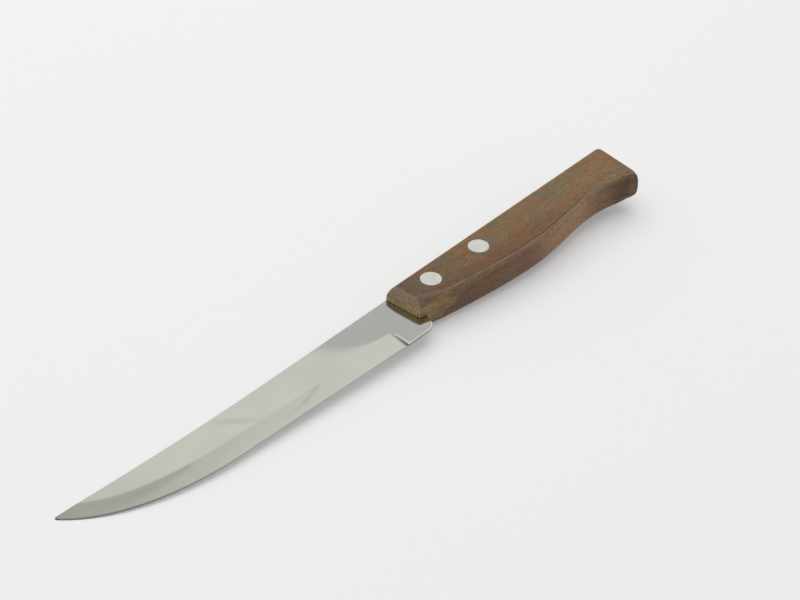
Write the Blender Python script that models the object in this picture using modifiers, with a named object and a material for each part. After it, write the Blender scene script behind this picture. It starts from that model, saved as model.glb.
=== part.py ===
"""Pointed kitchen knife: a ground blade whose tang is riveted into a one-piece wooden handle.

The knife lies on its side. X runs from the point to the butt, Y from the edge to the spine and
Z up through the thickness. The drawing is in metres, with x = 0 at the front of the handle,
y = 0 on the line of the rivets and z = 0 in the middle of the blade's thickness. Depths are
measured down from the rivet line, towards the edge, and setbacks forward from the handle's front.
"""
import math

import bmesh
import bpy
from mathutils import Vector
from mathutils.geometry import interpolate_bezier

# Blade stock and overall shape
BLADE_LENGTH = 0.1262
STOCK_THICKNESS = 0.0009
EDGE_THICKNESS = 0.0002
SPINE_HEIGHT = 0.0067
SPINE_RISE = 0.0026
SPINE_RISE_SETBACK = 0.050
POINT_BLUNTNESS = 0.0005

# Cutting edge: a straight run from the heel, then a curve up to the point
HEEL_SETBACK = 0.0110
HEEL_DEPTH = 0.01115
HEEL_SLANT = math.radians(8.0)
CURVE_SETBACK = 0.068
CURVE_DEPTH = 0.0090
CURVE_HEEL_PULL = 0.0207
CURVE_POINT_PULL = 0.0211
CURVE_POINT_ANGLE = math.radians(46.0)

# Grind: a narrow facet along the edge and a wide one above it, which runs out near the handle.
# At the heel the wide facet is only as high as its rise.
FACET_WIDTH = 0.0051
FACET_THICKNESS = 0.00062
HEEL_GRIND_RISE = 0.00085
RUNOUT_SETBACK = 0.030
RUNOUT_HEEL_PULL = 0.0100
RUNOUT_SPINE_PULL = 0.0088
RUNOUT_HEEL_ANGLE = math.radians(13.0)
RUNOUT_SPINE_ANGLE = math.radians(59.0)

# Heel tab and tang
TAB_STEP = 0.00015
TAB_INSERTION = 0.0024
TAB_CORNER_RADIUS = 0.0052
SHOULDER_RUN = 0.0006
TANG_LENGTH = 0.044
TANG_DEPTH = 0.0050
TANG_CORNER_RADIUS = 0.006

# Handle outline at half its thickness
HANDLE_LENGTH = 0.0996
HANDLE_THICKNESS = 0.0102
FRONT_DEPTH = 0.0061
FRONT_SLOPE = -0.16
FRONT_PULL = 0.0148
BELLY_POSITION = 0.048
BELLY_DEPTH = 0.01155
BELLY_FRONT_PULL = 0.0149
BELLY_REAR_PULL = 0.0103
WAIST_POSITION = 0.0772
WAIST_DEPTH = 0.0090
WAIST_FRONT_PULL = 0.0091
WAIST_REAR_PULL = 0.0079
BUTT_DEPTH = 0.0130
BUTT_SLOPE = -0.44
BUTT_PULL = 0.0069
BUTT_SLANT = math.radians(9.8)
BUTT_BELLY_RADIUS = 0.0018
BUTT_SPINE_RADIUS = 0.0024

# Handle sides and nose
SIDE_CROWN = 0.00165
CROWN_POWER = 4.0
NOSE_RUN_AT_SPINE = 0.0023
NOSE_RUN_AT_BELLY = 0.0005
NOSE_DROP = 0.0022

# Rivets
FRONT_RIVET_POSITION = 0.0119
RIVET_PITCH = 0.02145
HEAD_DIAMETER = 0.0065
HEAD_THICKNESS = 0.0015
PIN_DIAMETER = 0.0024
TUBE_WALL = 0.0007
TUBE_FLOOR = 0.0020

# Fits
SLOT_CLEARANCE = 0.0003
RIVET_CLEARANCE = 0.0002
PIN_END_GAP = 0.0005
TUBE_RIM_GAP = 0.0017

# Fineness of the curved faces
CURVE_STEPS = 10
CORNER_STEPS = 5
TURN_STEPS = 32
SIDE_LEVELS = (-1.0, -0.88, -0.72, -0.5, 0.0, 0.5, 0.72, 0.88, 1.0)
CUT_OVERSHOOT = 0.004
SHARP_ANGLE = math.radians(30.0)

# Smallest distances and turns that count as a difference
MERGE_DISTANCE = 1e-6
SLICE_TOLERANCE = 1e-7
STRAIGHT_TURN = 1e-6

HALF_STOCK = STOCK_THICKNESS / 2
HALF_EDGE = EDGE_THICKNESS / 2
HALF_FACET = FACET_THICKNESS / 2
HALF_HANDLE = HANDLE_THICKNESS / 2
HEEL_RIDGE = FACET_WIDTH - HEEL_DEPTH
HEEL_GRIND_TOP = HEEL_RIDGE + HEEL_GRIND_RISE
TAB_DEPTH = HEEL_DEPTH + TAB_STEP


def clear_scene():
    """Remove every object that the scene holds."""
    for item in list(bpy.data.objects):
        bpy.data.objects.remove(item, do_unlink=True)


def make_collection(name):
    """Return a new collection linked to the scene."""
    collection = bpy.data.collections.new(name)
    bpy.context.scene.collection.children.link(collection)
    return collection


def make_material(name, colour, roughness, metallic):
    """Return a plain Principled material."""
    material = bpy.data.materials.new(name)
    material.use_nodes = True
    shader = material.node_tree.nodes["Principled BSDF"]
    shader.inputs["Base Color"].default_value = (*colour, 1.0)
    shader.inputs["Roughness"].default_value = roughness
    shader.inputs["Metallic"].default_value = metallic
    return material


def object_from_bmesh(name, shape, collection, root):
    """Turn a bmesh into an object under the root empty."""
    mesh = bpy.data.meshes.new(name)
    shape.to_mesh(mesh)
    shape.free()
    item = bpy.data.objects.new(name, mesh)
    collection.objects.link(item)
    item.parent = root
    return item


def shade(item, material):
    """Give an object its material and smooth shading with crisp edges."""
    item.data.materials.append(material)
    item.data.shade_smooth()
    item.data.set_sharp_from_angle(angle=SHARP_ANGLE)


def hide_cutter(item):
    """Mark an object as a cutter that isn't part of the knife."""
    item.hide_render = True
    item.display_type = "WIRE"


def cut(item, cutter):
    """Subtract a cutter from an object."""
    modifier = item.modifiers.new("cut_" + cutter.name, "BOOLEAN")
    modifier.operation = "DIFFERENCE"
    modifier.solver = "EXACT"
    modifier.object = cutter


def loft(rings):
    """Skin closed rings of equal length and cap both ends.

    Seen from the last ring, each ring runs anticlockwise. Points that coincide are merged.
    """
    shape = bmesh.new()
    rows = [[shape.verts.new(point) for point in ring] for ring in rings]
    count = len(rings[0])
    for lower, upper in zip(rows, rows[1:]):
        for i in range(count):
            j = (i + 1) % count
            shape.faces.new((lower[i], lower[j], upper[j], upper[i]))
    shape.faces.new(reversed(rows[0]))
    shape.faces.new(rows[-1])
    bmesh.ops.remove_doubles(shape, verts=shape.verts, dist=MERGE_DISTANCE)
    return shape


def bezier(start, start_angle, start_pull, end, end_angle, end_pull):
    """Return points on a Bezier curve whose end tangents point into the curve at the given angles."""
    start_handle = Vector(start) + start_pull * Vector((math.cos(start_angle), math.sin(start_angle)))
    end_handle = Vector(end) + end_pull * Vector((math.cos(end_angle), math.sin(end_angle)))
    return interpolate_bezier(Vector(start), start_handle, end_handle, Vector(end), CURVE_STEPS + 1)


def corner_arc(before, corner, after, radius):
    """Return the points of an arc that rounds the corner between two straight runs."""
    back = (before - corner).normalized()
    ahead = (after - corner).normalized()
    half_angle = back.angle(ahead) / 2
    centre = corner + (back + ahead).normalized() * radius / math.sin(half_angle)
    tangent = radius / math.tan(half_angle)
    first = corner + back * tangent - centre
    turn = (math.pi - 2 * half_angle) / CORNER_STEPS
    points = []
    for step in range(CORNER_STEPS + 1):
        angle = step * turn
        arm = Vector((first.x * math.cos(angle) - first.y * math.sin(angle),
                      first.x * math.sin(angle) + first.y * math.cos(angle)))
        points.append(centre + arm)
    return points


def inset_outline(outline, depths):
    """Move each edge of an anticlockwise outline inwards by its own depth."""
    count = len(outline)
    normals = []
    for i in range(count):
        along = (outline[(i + 1) % count] - outline[i]).normalized()
        normals.append(Vector((-along.y, along.x)))
    moved = []
    for i in range(count):
        first, second = normals[i - 1], normals[i]
        depth_first, depth_second = depths[i - 1], depths[i]
        spread = first.x * second.y - first.y * second.x
        if abs(spread) < STRAIGHT_TURN:
            shift = second * depth_second
        else:
            shift = Vector((depth_first * second.y - depth_second * first.y,
                            depth_second * first.x - depth_first * second.x)) / spread
        moved.append(outline[i] + shift)
    return moved


def spine_at(x):
    """Height of the spine, which rises gently towards the point."""
    reach = max(0.0, -x - SPINE_RISE_SETBACK) / (BLADE_LENGTH - SPINE_RISE_SETBACK)
    return SPINE_HEIGHT + SPINE_RISE * reach ** 2


def runout_line():
    """Where the wide facet meets the flat of the blade, from the spine down to the heel."""
    top = Vector((-RUNOUT_SETBACK, spine_at(-RUNOUT_SETBACK)))
    heel = Vector((-HEEL_SETBACK, HEEL_GRIND_TOP))
    return bezier(top, -RUNOUT_SPINE_ANGLE, RUNOUT_SPINE_PULL,
                  heel, math.pi - RUNOUT_HEEL_ANGLE, RUNOUT_HEEL_PULL)


def ground_stations():
    """Points of the cutting edge from the point back to the heel, with the top of the grind above each."""
    heel = Vector((-HEEL_SETBACK, -HEEL_DEPTH))
    bend = Vector((-CURVE_SETBACK, -CURVE_DEPTH))
    point = Vector((-BLADE_LENGTH, spine_at(-BLADE_LENGTH) - POINT_BLUNTNESS))
    along = heel - bend
    run_angle = math.atan2(along.y, along.x)
    curve = bezier(point, -CURVE_POINT_ANGLE, CURVE_POINT_PULL, bend, run_angle + math.pi, CURVE_HEEL_PULL)
    edge = list(curve)
    tops = [spine_at(place.x) for place in curve]
    for mark in runout_line():
        edge.append(bend + along * (mark.x - bend.x) / along.x)
        tops.append(mark.y)
    return edge, tops


def edge_slopes(edge):
    """Slope of the cutting edge at each of its points."""
    before = edge[:1] + edge[:-1]
    after = edge[1:] + edge[-1:]
    return [(end.y - start.y) / (end.x - start.x) for start, end in zip(before, after)]


def mirrored_section(x, upper):
    """Close a section from its upper half, listed from the spine to the edge as (y, half thickness)."""
    top = [(x, y, half) for y, half in upper]
    bottom = [(x, y, -half) for y, half in reversed(upper)]
    return top + bottom


def slant_heel(section):
    """Lean a section of the heel, so that the step above the edge stands back at its top."""
    return [(x + math.tan(HEEL_SLANT) * (y + HEEL_DEPTH), y, z) for x, y, z in section]


def ground_sections():
    """Sections of the ground blade, from the point back to the heel."""
    edge, tops = ground_stations()
    facet_slope = (HALF_FACET - HALF_EDGE) / FACET_WIDTH
    full_height = spine_at(-RUNOUT_SETBACK) + CURVE_DEPTH
    wide_slope = (HALF_STOCK - HALF_FACET) / (full_height - FACET_WIDTH)
    sections = []
    for place, slope, top in zip(edge, edge_slopes(edge), tops):
        spine = spine_at(place.x)
        stretch = math.hypot(1.0, slope)
        ridge = min(place.y + FACET_WIDTH * stretch, top)
        half_ridge = HALF_EDGE + facet_slope * (ridge - place.y) / stretch
        half_top = HALF_STOCK
        if top >= spine:
            half_top = min(HALF_STOCK, half_ridge + wide_slope * (spine - ridge))
        upper = [(spine, half_top), (top, half_top), (ridge, half_ridge), (place.y, HALF_EDGE)]
        sections.append(mirrored_section(place.x, upper))
    sections[-1] = slant_heel(sections[-1])
    return sections


def flat_section(x, depth):
    """Section of the unground sheet from the spine down to a depth."""
    marks = [SPINE_HEIGHT, max(-depth, HEEL_GRIND_TOP), max(-depth, HEEL_RIDGE), -depth]
    return mirrored_section(x, [(mark, HALF_STOCK) for mark in marks])


def tab_sections():
    """Sections of the unground heel tab, ending in its rounded corner inside the handle."""
    corner_x = TAB_INSERTION - TAB_CORNER_RADIUS
    corner_depth = TAB_DEPTH - TAB_CORNER_RADIUS
    sections = [slant_heel(flat_section(-HEEL_SETBACK, TAB_DEPTH))]
    for step in range(CURVE_STEPS + 1):
        angle = math.pi / 2 * step / CURVE_STEPS
        x = corner_x + TAB_CORNER_RADIUS * math.sin(angle)
        sections.append(flat_section(x, corner_depth + TAB_CORNER_RADIUS * math.cos(angle)))
    return sections


def tang_sections(growth=0.0):
    """Sections of the tang, which keeps the height of the spine and ends in a rounded corner."""
    radius = TANG_CORNER_RADIUS + growth
    depth = TANG_DEPTH + growth
    corner_x = TANG_LENGTH - TANG_CORNER_RADIUS
    corner_depth = TANG_DEPTH - TANG_CORNER_RADIUS
    sections = [(TAB_INSERTION + SHOULDER_RUN + growth, depth)]
    for step in range(CURVE_STEPS + 1):
        angle = math.pi / 2 * step / CURVE_STEPS
        sections.append((corner_x + radius * math.sin(angle), corner_depth + radius * math.cos(angle)))
    return sections


def make_blade(collection, root):
    """Blade, heel tab and tang in one sheet."""
    rings = ground_sections() + tab_sections()
    rings += [flat_section(x, depth) for x, depth in tang_sections()]
    return object_from_bmesh("blade", loft(rings), collection, root)


def handle_outline():
    """Handle outline at half its thickness, anticlockwise, with the inset share of each edge."""
    front_belly = Vector((0.0, -FRONT_DEPTH))
    belly = Vector((BELLY_POSITION, -BELLY_DEPTH))
    waist = Vector((WAIST_POSITION, -WAIST_DEPTH))
    butt_spine = Vector((HANDLE_LENGTH, SPINE_HEIGHT))
    butt_belly = Vector((HANDLE_LENGTH - math.tan(BUTT_SLANT) * (SPINE_HEIGHT + BUTT_DEPTH), -BUTT_DEPTH))
    front_spine = Vector((0.0, SPINE_HEIGHT))
    front_run = bezier(front_belly, math.atan(FRONT_SLOPE), FRONT_PULL, belly, math.pi, BELLY_FRONT_PULL)
    middle_run = bezier(belly, 0.0, BELLY_REAR_PULL, waist, math.pi, WAIST_FRONT_PULL)
    rear_run = bezier(waist, 0.0, WAIST_REAR_PULL, butt_belly, math.pi + math.atan(BUTT_SLOPE), BUTT_PULL)
    into_butt = butt_belly - Vector((1.0, BUTT_SLOPE))
    belly_corner = corner_arc(into_butt, butt_belly, butt_spine, BUTT_BELLY_RADIUS)
    spine_corner = corner_arc(butt_belly, butt_spine, front_spine, BUTT_SPINE_RADIUS)
    rear_run = [mark for mark in rear_run if mark.x < belly_corner[0].x]
    points = front_run[:-1] + middle_run[:-1] + rear_run + belly_corner + spine_corner + [front_spine]
    shares = [1.0] * len(points)
    shares[-1] = 0.0
    return points, shares


def crown_inset(level):
    """How far the crowned side stands in at a level, from -1 at the lower face to 1 at the upper."""
    return SIDE_CROWN * abs(level) ** CROWN_POWER


def chamfer_nose(shape, side):
    """Slice off the front edge of the upper (side 1) or lower (side -1) face."""
    face = side * HALF_HANDLE
    at_spine = Vector((NOSE_RUN_AT_SPINE, SPINE_HEIGHT, face))
    at_belly = Vector((NOSE_RUN_AT_BELLY, -FRONT_DEPTH, face))
    at_front = Vector((0.0, SPINE_HEIGHT, face - side * NOSE_DROP))
    normal = (at_belly - at_spine).cross(at_front - at_spine).normalized()
    if normal.x > 0:
        normal = -normal
    geometry = shape.verts[:] + shape.edges[:] + shape.faces[:]
    bmesh.ops.bisect_plane(shape, geom=geometry, dist=SLICE_TOLERANCE, plane_co=at_spine, plane_no=normal,
                           clear_outer=True)
    rim = [edge for edge in shape.edges if edge.is_boundary]
    bmesh.ops.holes_fill(shape, edges=rim)


def make_handle(collection, root):
    """One-piece handle with crowned sides, flat faces and a chamfered nose."""
    outline, shares = handle_outline()
    rings = []
    for level in SIDE_LEVELS:
        inset = crown_inset(level)
        ring = inset_outline(outline, [inset * share for share in shares])
        rings.append([(mark.x, mark.y, level * HALF_HANDLE) for mark in ring])
    shape = loft(rings)
    for side in (1, -1):
        chamfer_nose(shape, side)
    return object_from_bmesh("handle", shape, collection, root)


def make_slot_cutter(collection, root):
    """Sawn slot for the tang, open at the front and along the spine."""
    half_width = HALF_STOCK + SLOT_CLEARANCE
    rear = tang_sections(SLOT_CLEARANCE)
    mouth = TAB_INSERTION + SLOT_CLEARANCE
    outside = BUTT_DEPTH + CUT_OVERSHOOT
    above = SPINE_HEIGHT + CUT_OVERSHOOT
    shoulder = max(TAB_DEPTH - TAB_CORNER_RADIUS, TANG_DEPTH) + SLOT_CLEARANCE
    marks = [(-CUT_OVERSHOOT, -outside), (mouth, -outside), (mouth, -shoulder)]
    marks += [(x, -depth) for x, depth in rear]
    marks += [(rear[-1][0], above), (-CUT_OVERSHOOT, above)]
    rings = [[(x, y, level) for x, y in marks] for level in (-half_width, half_width)]
    cutter = object_from_bmesh("tang_slot", loft(rings), collection, root)
    hide_cutter(cutter)
    return cutter


def make_turned(name, profile, place, collection, root):
    """Turn a profile of (radius, height) pairs, listed down its outer side, round an upright axis."""
    shape = bmesh.new()
    marks = [shape.verts.new((radius, 0.0, height)) for radius, height in profile]
    for upper, lower in zip(marks, marks[1:]):
        shape.edges.new((upper, lower))
    item = object_from_bmesh(name, shape, collection, root)
    item.location = place
    turning = item.modifiers.new("turning", "SCREW")
    turning.angle = math.tau
    turning.steps = TURN_STEPS
    turning.render_steps = TURN_STEPS
    turning.use_merge_vertices = True
    turning.merge_threshold = MERGE_DISTANCE
    return item


def pin_profile():
    """Solid half of a rivet: a flush head above and a pin below it."""
    head = HEAD_DIAMETER / 2
    pin = PIN_DIAMETER / 2
    shoulder = HALF_HANDLE - HEAD_THICKNESS
    end = TUBE_FLOOR + PIN_END_GAP - HALF_HANDLE
    return [(0.0, HALF_HANDLE), (head, HALF_HANDLE), (head, shoulder), (pin, shoulder), (pin, end), (0.0, end)]


def tube_radius():
    """Outer radius of the hollow half's tube."""
    return PIN_DIAMETER / 2 + RIVET_CLEARANCE + TUBE_WALL


def tube_profile():
    """Hollow half of a rivet: a flush head below and an open tube above it."""
    head = HEAD_DIAMETER / 2
    bore = PIN_DIAMETER / 2 + RIVET_CLEARANCE
    shoulder = HEAD_THICKNESS - HALF_HANDLE
    rim = HALF_HANDLE - HEAD_THICKNESS - TUBE_RIM_GAP
    floor = TUBE_FLOOR - HALF_HANDLE
    return [(0.0, floor), (bore, floor), (bore, rim), (tube_radius(), rim), (tube_radius(), shoulder),
            (head, shoulder), (head, -HALF_HANDLE), (0.0, -HALF_HANDLE)]


def bore_profile():
    """Stepped hole that a rivet fills, from above the upper face to below the lower one."""
    recess = HEAD_DIAMETER / 2 + RIVET_CLEARANCE
    bore = tube_radius() + RIVET_CLEARANCE
    floor = HALF_HANDLE - HEAD_THICKNESS - RIVET_CLEARANCE
    outside = HALF_HANDLE + CUT_OVERSHOOT
    return [(0.0, outside), (recess, outside), (recess, floor), (bore, floor), (bore, -floor),
            (recess, -floor), (recess, -outside), (0.0, -outside)]


def centre_on_floor(root, parts):
    """Move the root so that the middle of the knife's lower side stands on the world's origin."""
    bpy.context.view_layer.update()
    graph = bpy.context.evaluated_depsgraph_get()
    corners = []
    for part in parts:
        seen = part.evaluated_get(graph)
        mesh = seen.to_mesh()
        corners += [seen.matrix_world @ vertex.co for vertex in mesh.vertices]
        seen.to_mesh_clear()
    lowest = [min(corner[axis] for corner in corners) for axis in range(3)]
    highest = [max(corner[axis] for corner in corners) for axis in range(3)]
    root.location = (-(lowest[0] + highest[0]) / 2, -(lowest[1] + highest[1]) / 2, -lowest[2])
    bpy.context.view_layer.update()


def main():
    """Build the knife."""
    clear_scene()
    knife = make_collection("pointed_kitchen_knife")
    cutters = make_collection("cutters")
    root = bpy.data.objects.new("knife_origin", None)
    knife.objects.link(root)

    steel = make_material("polished_steel", colour=(0.56, 0.56, 0.53), roughness=0.18, metallic=1.0)
    wood = make_material("oiled_hardwood", colour=(0.19, 0.09, 0.04), roughness=0.5, metallic=0.0)
    aluminium = make_material("satin_aluminium", colour=(0.80, 0.82, 0.82), roughness=0.35, metallic=1.0)

    blade = make_blade(knife, root)
    handle = make_handle(knife, root)
    shade(blade, steel)
    shade(handle, wood)
    cut(handle, make_slot_cutter(cutters, root))

    parts = [blade, handle]
    for order, label in enumerate(("front", "rear")):
        place = (FRONT_RIVET_POSITION + order * RIVET_PITCH, 0.0, 0.0)
        bore = make_turned(label + "_rivet_bore", bore_profile(), place, cutters, root)
        hide_cutter(bore)
        cut(handle, bore)
        cut(blade, bore)
        for suffix, profile in (("_rivet_pin", pin_profile()), ("_rivet_tube", tube_profile())):
            half = make_turned(label + suffix, profile, place, knife, root)
            half.data.materials.append(aluminium)
            parts.append(half)
    centre_on_floor(root, parts)


main()
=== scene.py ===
"""Looks of a pointed kitchen knife: ground steel blade, oiled hardwood handle and flush rivets.

Drawing units are millimetres: x = 0 at the handle's front, y = 0 on the line of the rivets and z = 0 in the
middle of the blade's thickness. X runs from the point to the butt and Y from the edge to the spine. Each
finished mesh is moved to the frame's own place, in metres.
"""
from __future__ import annotations

import logging
import math
from dataclasses import dataclass
from enum import Enum
from typing import Callable, Iterable, Sequence

import bmesh
import bpy
import numpy as np
from mathutils import Matrix, Vector
from mathutils.geometry import interpolate_bezier


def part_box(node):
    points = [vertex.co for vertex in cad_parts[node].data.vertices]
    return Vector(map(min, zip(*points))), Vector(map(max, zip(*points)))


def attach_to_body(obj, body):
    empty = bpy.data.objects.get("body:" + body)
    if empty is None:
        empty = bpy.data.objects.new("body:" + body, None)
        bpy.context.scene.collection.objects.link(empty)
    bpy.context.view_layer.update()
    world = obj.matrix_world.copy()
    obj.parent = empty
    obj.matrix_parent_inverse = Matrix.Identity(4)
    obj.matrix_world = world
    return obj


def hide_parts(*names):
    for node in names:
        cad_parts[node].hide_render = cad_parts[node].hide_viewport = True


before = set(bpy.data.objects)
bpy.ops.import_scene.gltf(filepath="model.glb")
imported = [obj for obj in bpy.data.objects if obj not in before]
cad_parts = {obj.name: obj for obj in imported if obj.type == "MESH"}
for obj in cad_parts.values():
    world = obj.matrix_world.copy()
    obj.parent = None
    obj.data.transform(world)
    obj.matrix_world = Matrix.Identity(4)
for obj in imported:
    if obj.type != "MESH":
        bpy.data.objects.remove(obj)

LOG = logging.getLogger("knife")
MM = 0.001
BODY = "root"
MERGE_DISTANCE = 1e-4
CORNER_TURN = 0.5
WHITE = (1.0, 1.0, 1.0, 1.0)

Colour = tuple[float, float, float]
Point = tuple[float, float, float]
Pair = tuple[float, float]
Socket = bpy.types.NodeSocket
Item = bpy.types.Object


class Slot(Enum):
    """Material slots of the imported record."""

    STEEL = "polished_steel"
    WOOD = "oiled_hardwood"
    ALUMINIUM = "satin_aluminium"


class Half(Enum):
    """The two halves of a pressed rivet."""

    PIN = "pin"
    TUBE = "tube"


class SteelFinish(Enum):
    """Numbers of the blade's finishes."""

    POLISHED = 0
    SHEARED = 1
    BURNISHED = 2


# Plain geometry


def spread(start: float, end: float, count: int) -> list[float]:
    """Return evenly spaced values from start up to, but not at, end.

    Args:
        start: First value.
        end: Value that the row stops short of.
        count: How many values.

    Returns:
        The values in order.
    """
    return [start + (end - start) * step / count for step in range(count)]


def quarter_turns(steps: int) -> list[float]:
    """Return the angles along a quarter circle, both ends included."""
    return [math.pi / 2 * step / steps for step in range(steps + 1)]


def smooth_step(low: float, high: float, value: float) -> float:
    """Return 0 below low, 1 above high and an S-shaped ramp between them."""
    share = min(1.0, max(0.0, (value - low) / (high - low)))
    return share * share * (3.0 - 2.0 * share)


def bezier(start: Vector, start_angle: float, start_pull: float,
           end: Vector, end_angle: float, end_pull: float, steps: int) -> list[Vector]:
    """Return points on a Bezier curve between two marks.

    Args:
        start: First mark.
        start_angle: Direction in which the curve leaves the first mark, in degrees.
        start_pull: Length of the first handle.
        end: Last mark.
        end_angle: Direction from the last mark back along the curve, in degrees.
        end_pull: Length of the last handle.
        steps: Number of steps between the marks.

    Returns:
        The points, both marks included.
    """
    first, last = math.radians(start_angle), math.radians(end_angle)
    start_handle = start + start_pull * Vector((math.cos(first), math.sin(first)))
    end_handle = end + end_pull * Vector((math.cos(last), math.sin(last)))
    return list(interpolate_bezier(start, start_handle, end_handle, end, steps + 1))


def corner_arc(before: Vector, corner: Vector, after: Vector, radius: float, steps: int) -> list[Vector]:
    """Return the points of an arc that rounds the corner between two straight runs.

    Args:
        before: A point on the run into the corner.
        corner: The corner itself.
        after: A point on the run out of the corner.
        radius: Radius of the arc.
        steps: Number of steps along the arc.

    Returns:
        The points from the first tangent to the second.
    """
    back = (before - corner).normalized()
    ahead = (after - corner).normalized()
    half_angle = back.angle(ahead) / 2
    centre = corner + (back + ahead).normalized() * radius / math.sin(half_angle)
    first = corner + back * radius / math.tan(half_angle) - centre
    turn = (math.pi - 2 * half_angle) / steps
    return [centre + Matrix.Rotation(turn * step, 2) @ first for step in range(steps + 1)]


def inset_outline(outline: Sequence[Vector], depths: Sequence[float]) -> list[Vector]:
    """Move each edge of an anticlockwise outline inwards by its own depth.

    Args:
        outline: Corner points.
        depths: One depth for the edge that starts at each point.

    Returns:
        The moved corner points.
    """
    normals = []
    for i, start in enumerate(outline):
        along = (outline[(i + 1) % len(outline)] - start).normalized()
        normals.append(Vector((-along.y, along.x)))
    moved = []
    for i, start in enumerate(outline):
        first, second = normals[i - 1], normals[i]
        turn = first.x * second.y - first.y * second.x
        middle = (first + second).normalized()
        shift = middle * (depths[i - 1] + depths[i]) / 2 / middle.dot(second)
        if abs(turn) > CORNER_TURN:
            shift = Vector((depths[i - 1] * second.y - depths[i] * first.y,
                            depths[i] * first.x - depths[i - 1] * second.x)) / turn
        moved.append(start + shift)
    return moved


def loft(rings: Sequence[Sequence[Point]],
         paint: Callable[[int, int], int] = lambda band, order: 0) -> bmesh.types.BMesh:
    """Skin closed rings of equal length and cap both ends.

    Args:
        rings: Rings that run anticlockwise, seen from the last one.
        paint: Gives a face's material number from the ring that it starts at and its order round the ring.

    Returns:
        The closed shape, with points that coincide merged.
    """
    shape = bmesh.new()
    rows = [[shape.verts.new(point) for point in ring] for ring in rings]
    count = len(rings[0])
    for band, (lower, upper) in enumerate(zip(rows, rows[1:])):
        for i in range(count):
            j = (i + 1) % count
            shape.faces.new((lower[i], lower[j], upper[j], upper[i])).material_index = paint(band, i)
    shape.faces.new(reversed(rows[0]))
    shape.faces.new(rows[-1])
    bmesh.ops.remove_doubles(shape, verts=shape.verts, dist=MERGE_DISTANCE)
    bmesh.ops.dissolve_degenerate(shape, edges=shape.edges, dist=MERGE_DISTANCE)
    return shape


def add_object(name: str, data: bpy.types.ID) -> Item:
    """Add an object to the scene.

    Args:
        name: Name of the object.
        data: Its mesh, camera or light.

    Returns:
        The new object.
    """
    item = bpy.data.objects.new(name, data)
    bpy.context.scene.collection.objects.link(item)
    return item


def object_from_bmesh(name: str, shape: bmesh.types.BMesh) -> Item:
    """Turn a bmesh into an object of the scene.

    Args:
        name: Name of the object and of its mesh.
        shape: The bmesh, which is used up.

    Returns:
        The new object.
    """
    mesh = bpy.data.meshes.new(name)
    shape.to_mesh(mesh)
    shape.free()
    return add_object(name, mesh)


def discard(items: Iterable[Item]) -> None:
    """Remove helper objects."""
    for item in items:
        bpy.data.objects.remove(item, do_unlink=True)


def settle(item: Item) -> None:
    """Turn an object's modifiers into plain mesh and remove them.

    Args:
        item: The object.
    """
    graph = bpy.context.evaluated_depsgraph_get()
    mesh = bpy.data.meshes.new_from_object(item.evaluated_get(graph), depsgraph=graph)
    mesh.name = item.name
    item.modifiers.clear()
    item.data = mesh


def shade(item: Item, sharp_angle: float) -> None:
    """Shade an object smooth, with crisp edges and with flats that stay flat.

    Args:
        item: The object.
        sharp_angle: Angle above which an edge is crisp, in degrees.
    """
    item.data.shade_smooth()
    item.data.set_sharp_from_angle(angle=math.radians(sharp_angle))
    even = item.modifiers.new("even_flats", "WEIGHTED_NORMAL")
    even.keep_sharp = True
    settle(item)


def cut(item: Item, cutters: Sequence[Item]) -> None:
    """Subtract closed cutters from an object.

    Args:
        item: The object.
        cutters: The cutters, which are used up.
    """
    for cutter in cutters:
        modifier = item.modifiers.new(cutter.name, "BOOLEAN")
        modifier.operation = "DIFFERENCE"
        modifier.solver = "EXACT"
        modifier.object = cutter
    settle(item)
    discard(cutters)


def mesh_points(item: Item) -> np.ndarray:
    """Return the points of an object's mesh, one to a row."""
    return np.array([vertex.co[:] for vertex in item.data.vertices])


def mark_points(item: Item, name: str, values: np.ndarray) -> None:
    """Store one value for each point of an object's mesh, under a name."""
    layer = item.data.attributes.new(name, "FLOAT", "POINT")
    layer.data.foreach_set("value", values.astype(np.float32))


def turned(name: str, profile: Sequence[Pair], steps: int) -> Item:
    """Turn a profile round the Z axis.

    Args:
        name: Name of the new object.
        profile: Pairs of radius and height, from the axis at the top down to the axis at the bottom.
        steps: Number of facets round the axis.

    Returns:
        A closed object.
    """
    shape = bmesh.new()
    marks = [shape.verts.new((radius, 0.0, height)) for radius, height in profile]
    edges = [shape.edges.new(pair) for pair in zip(marks, marks[1:])]
    bmesh.ops.spin(shape, geom=marks + edges, cent=(0, 0, 0), axis=(0, 0, 1), angle=math.tau, steps=steps,
                   use_merge=True)
    bmesh.ops.remove_doubles(shape, verts=shape.verts, dist=MERGE_DISTANCE)
    bmesh.ops.recalc_face_normals(shape, faces=shape.faces)
    return object_from_bmesh(name, shape)


@dataclass(frozen=True)
class Datum:
    """Where the drawing's zero lies in the frame, in metres.

    Attributes:
        front: X of the handle's front.
        rivet_line: Y of the line of the rivets.
        middle: Z of the middle of the blade's thickness.
    """

    front: float
    rivet_line: float
    middle: float

    @classmethod
    def from_frame(cls) -> Datum:
        """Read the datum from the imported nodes.

        Returns:
            The datum, in frame metres.
        """
        pin_low, pin_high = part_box("front_rivet_pin")
        blade_low, blade_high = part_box("blade")
        return cls(front=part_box("handle")[0].x, rivet_line=(pin_low.y + pin_high.y) / 2,
                   middle=(blade_low.z + blade_high.z) / 2)

    def matrix(self) -> Matrix:
        """Return the matrix that takes drawing millimetres to frame metres."""
        return Matrix.Translation((self.front, self.rivet_line, self.middle)) @ Matrix.Scale(MM, 4)

    def place(self, item: Item) -> None:
        """Move a finished drawing into the frame, with its place in its mesh."""
        item.data.transform(self.matrix())

    def drawn(self, point: Vector) -> Vector:
        """Return a frame point in drawing millimetres."""
        return self.matrix().inverted() @ point


# Finishes


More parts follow.
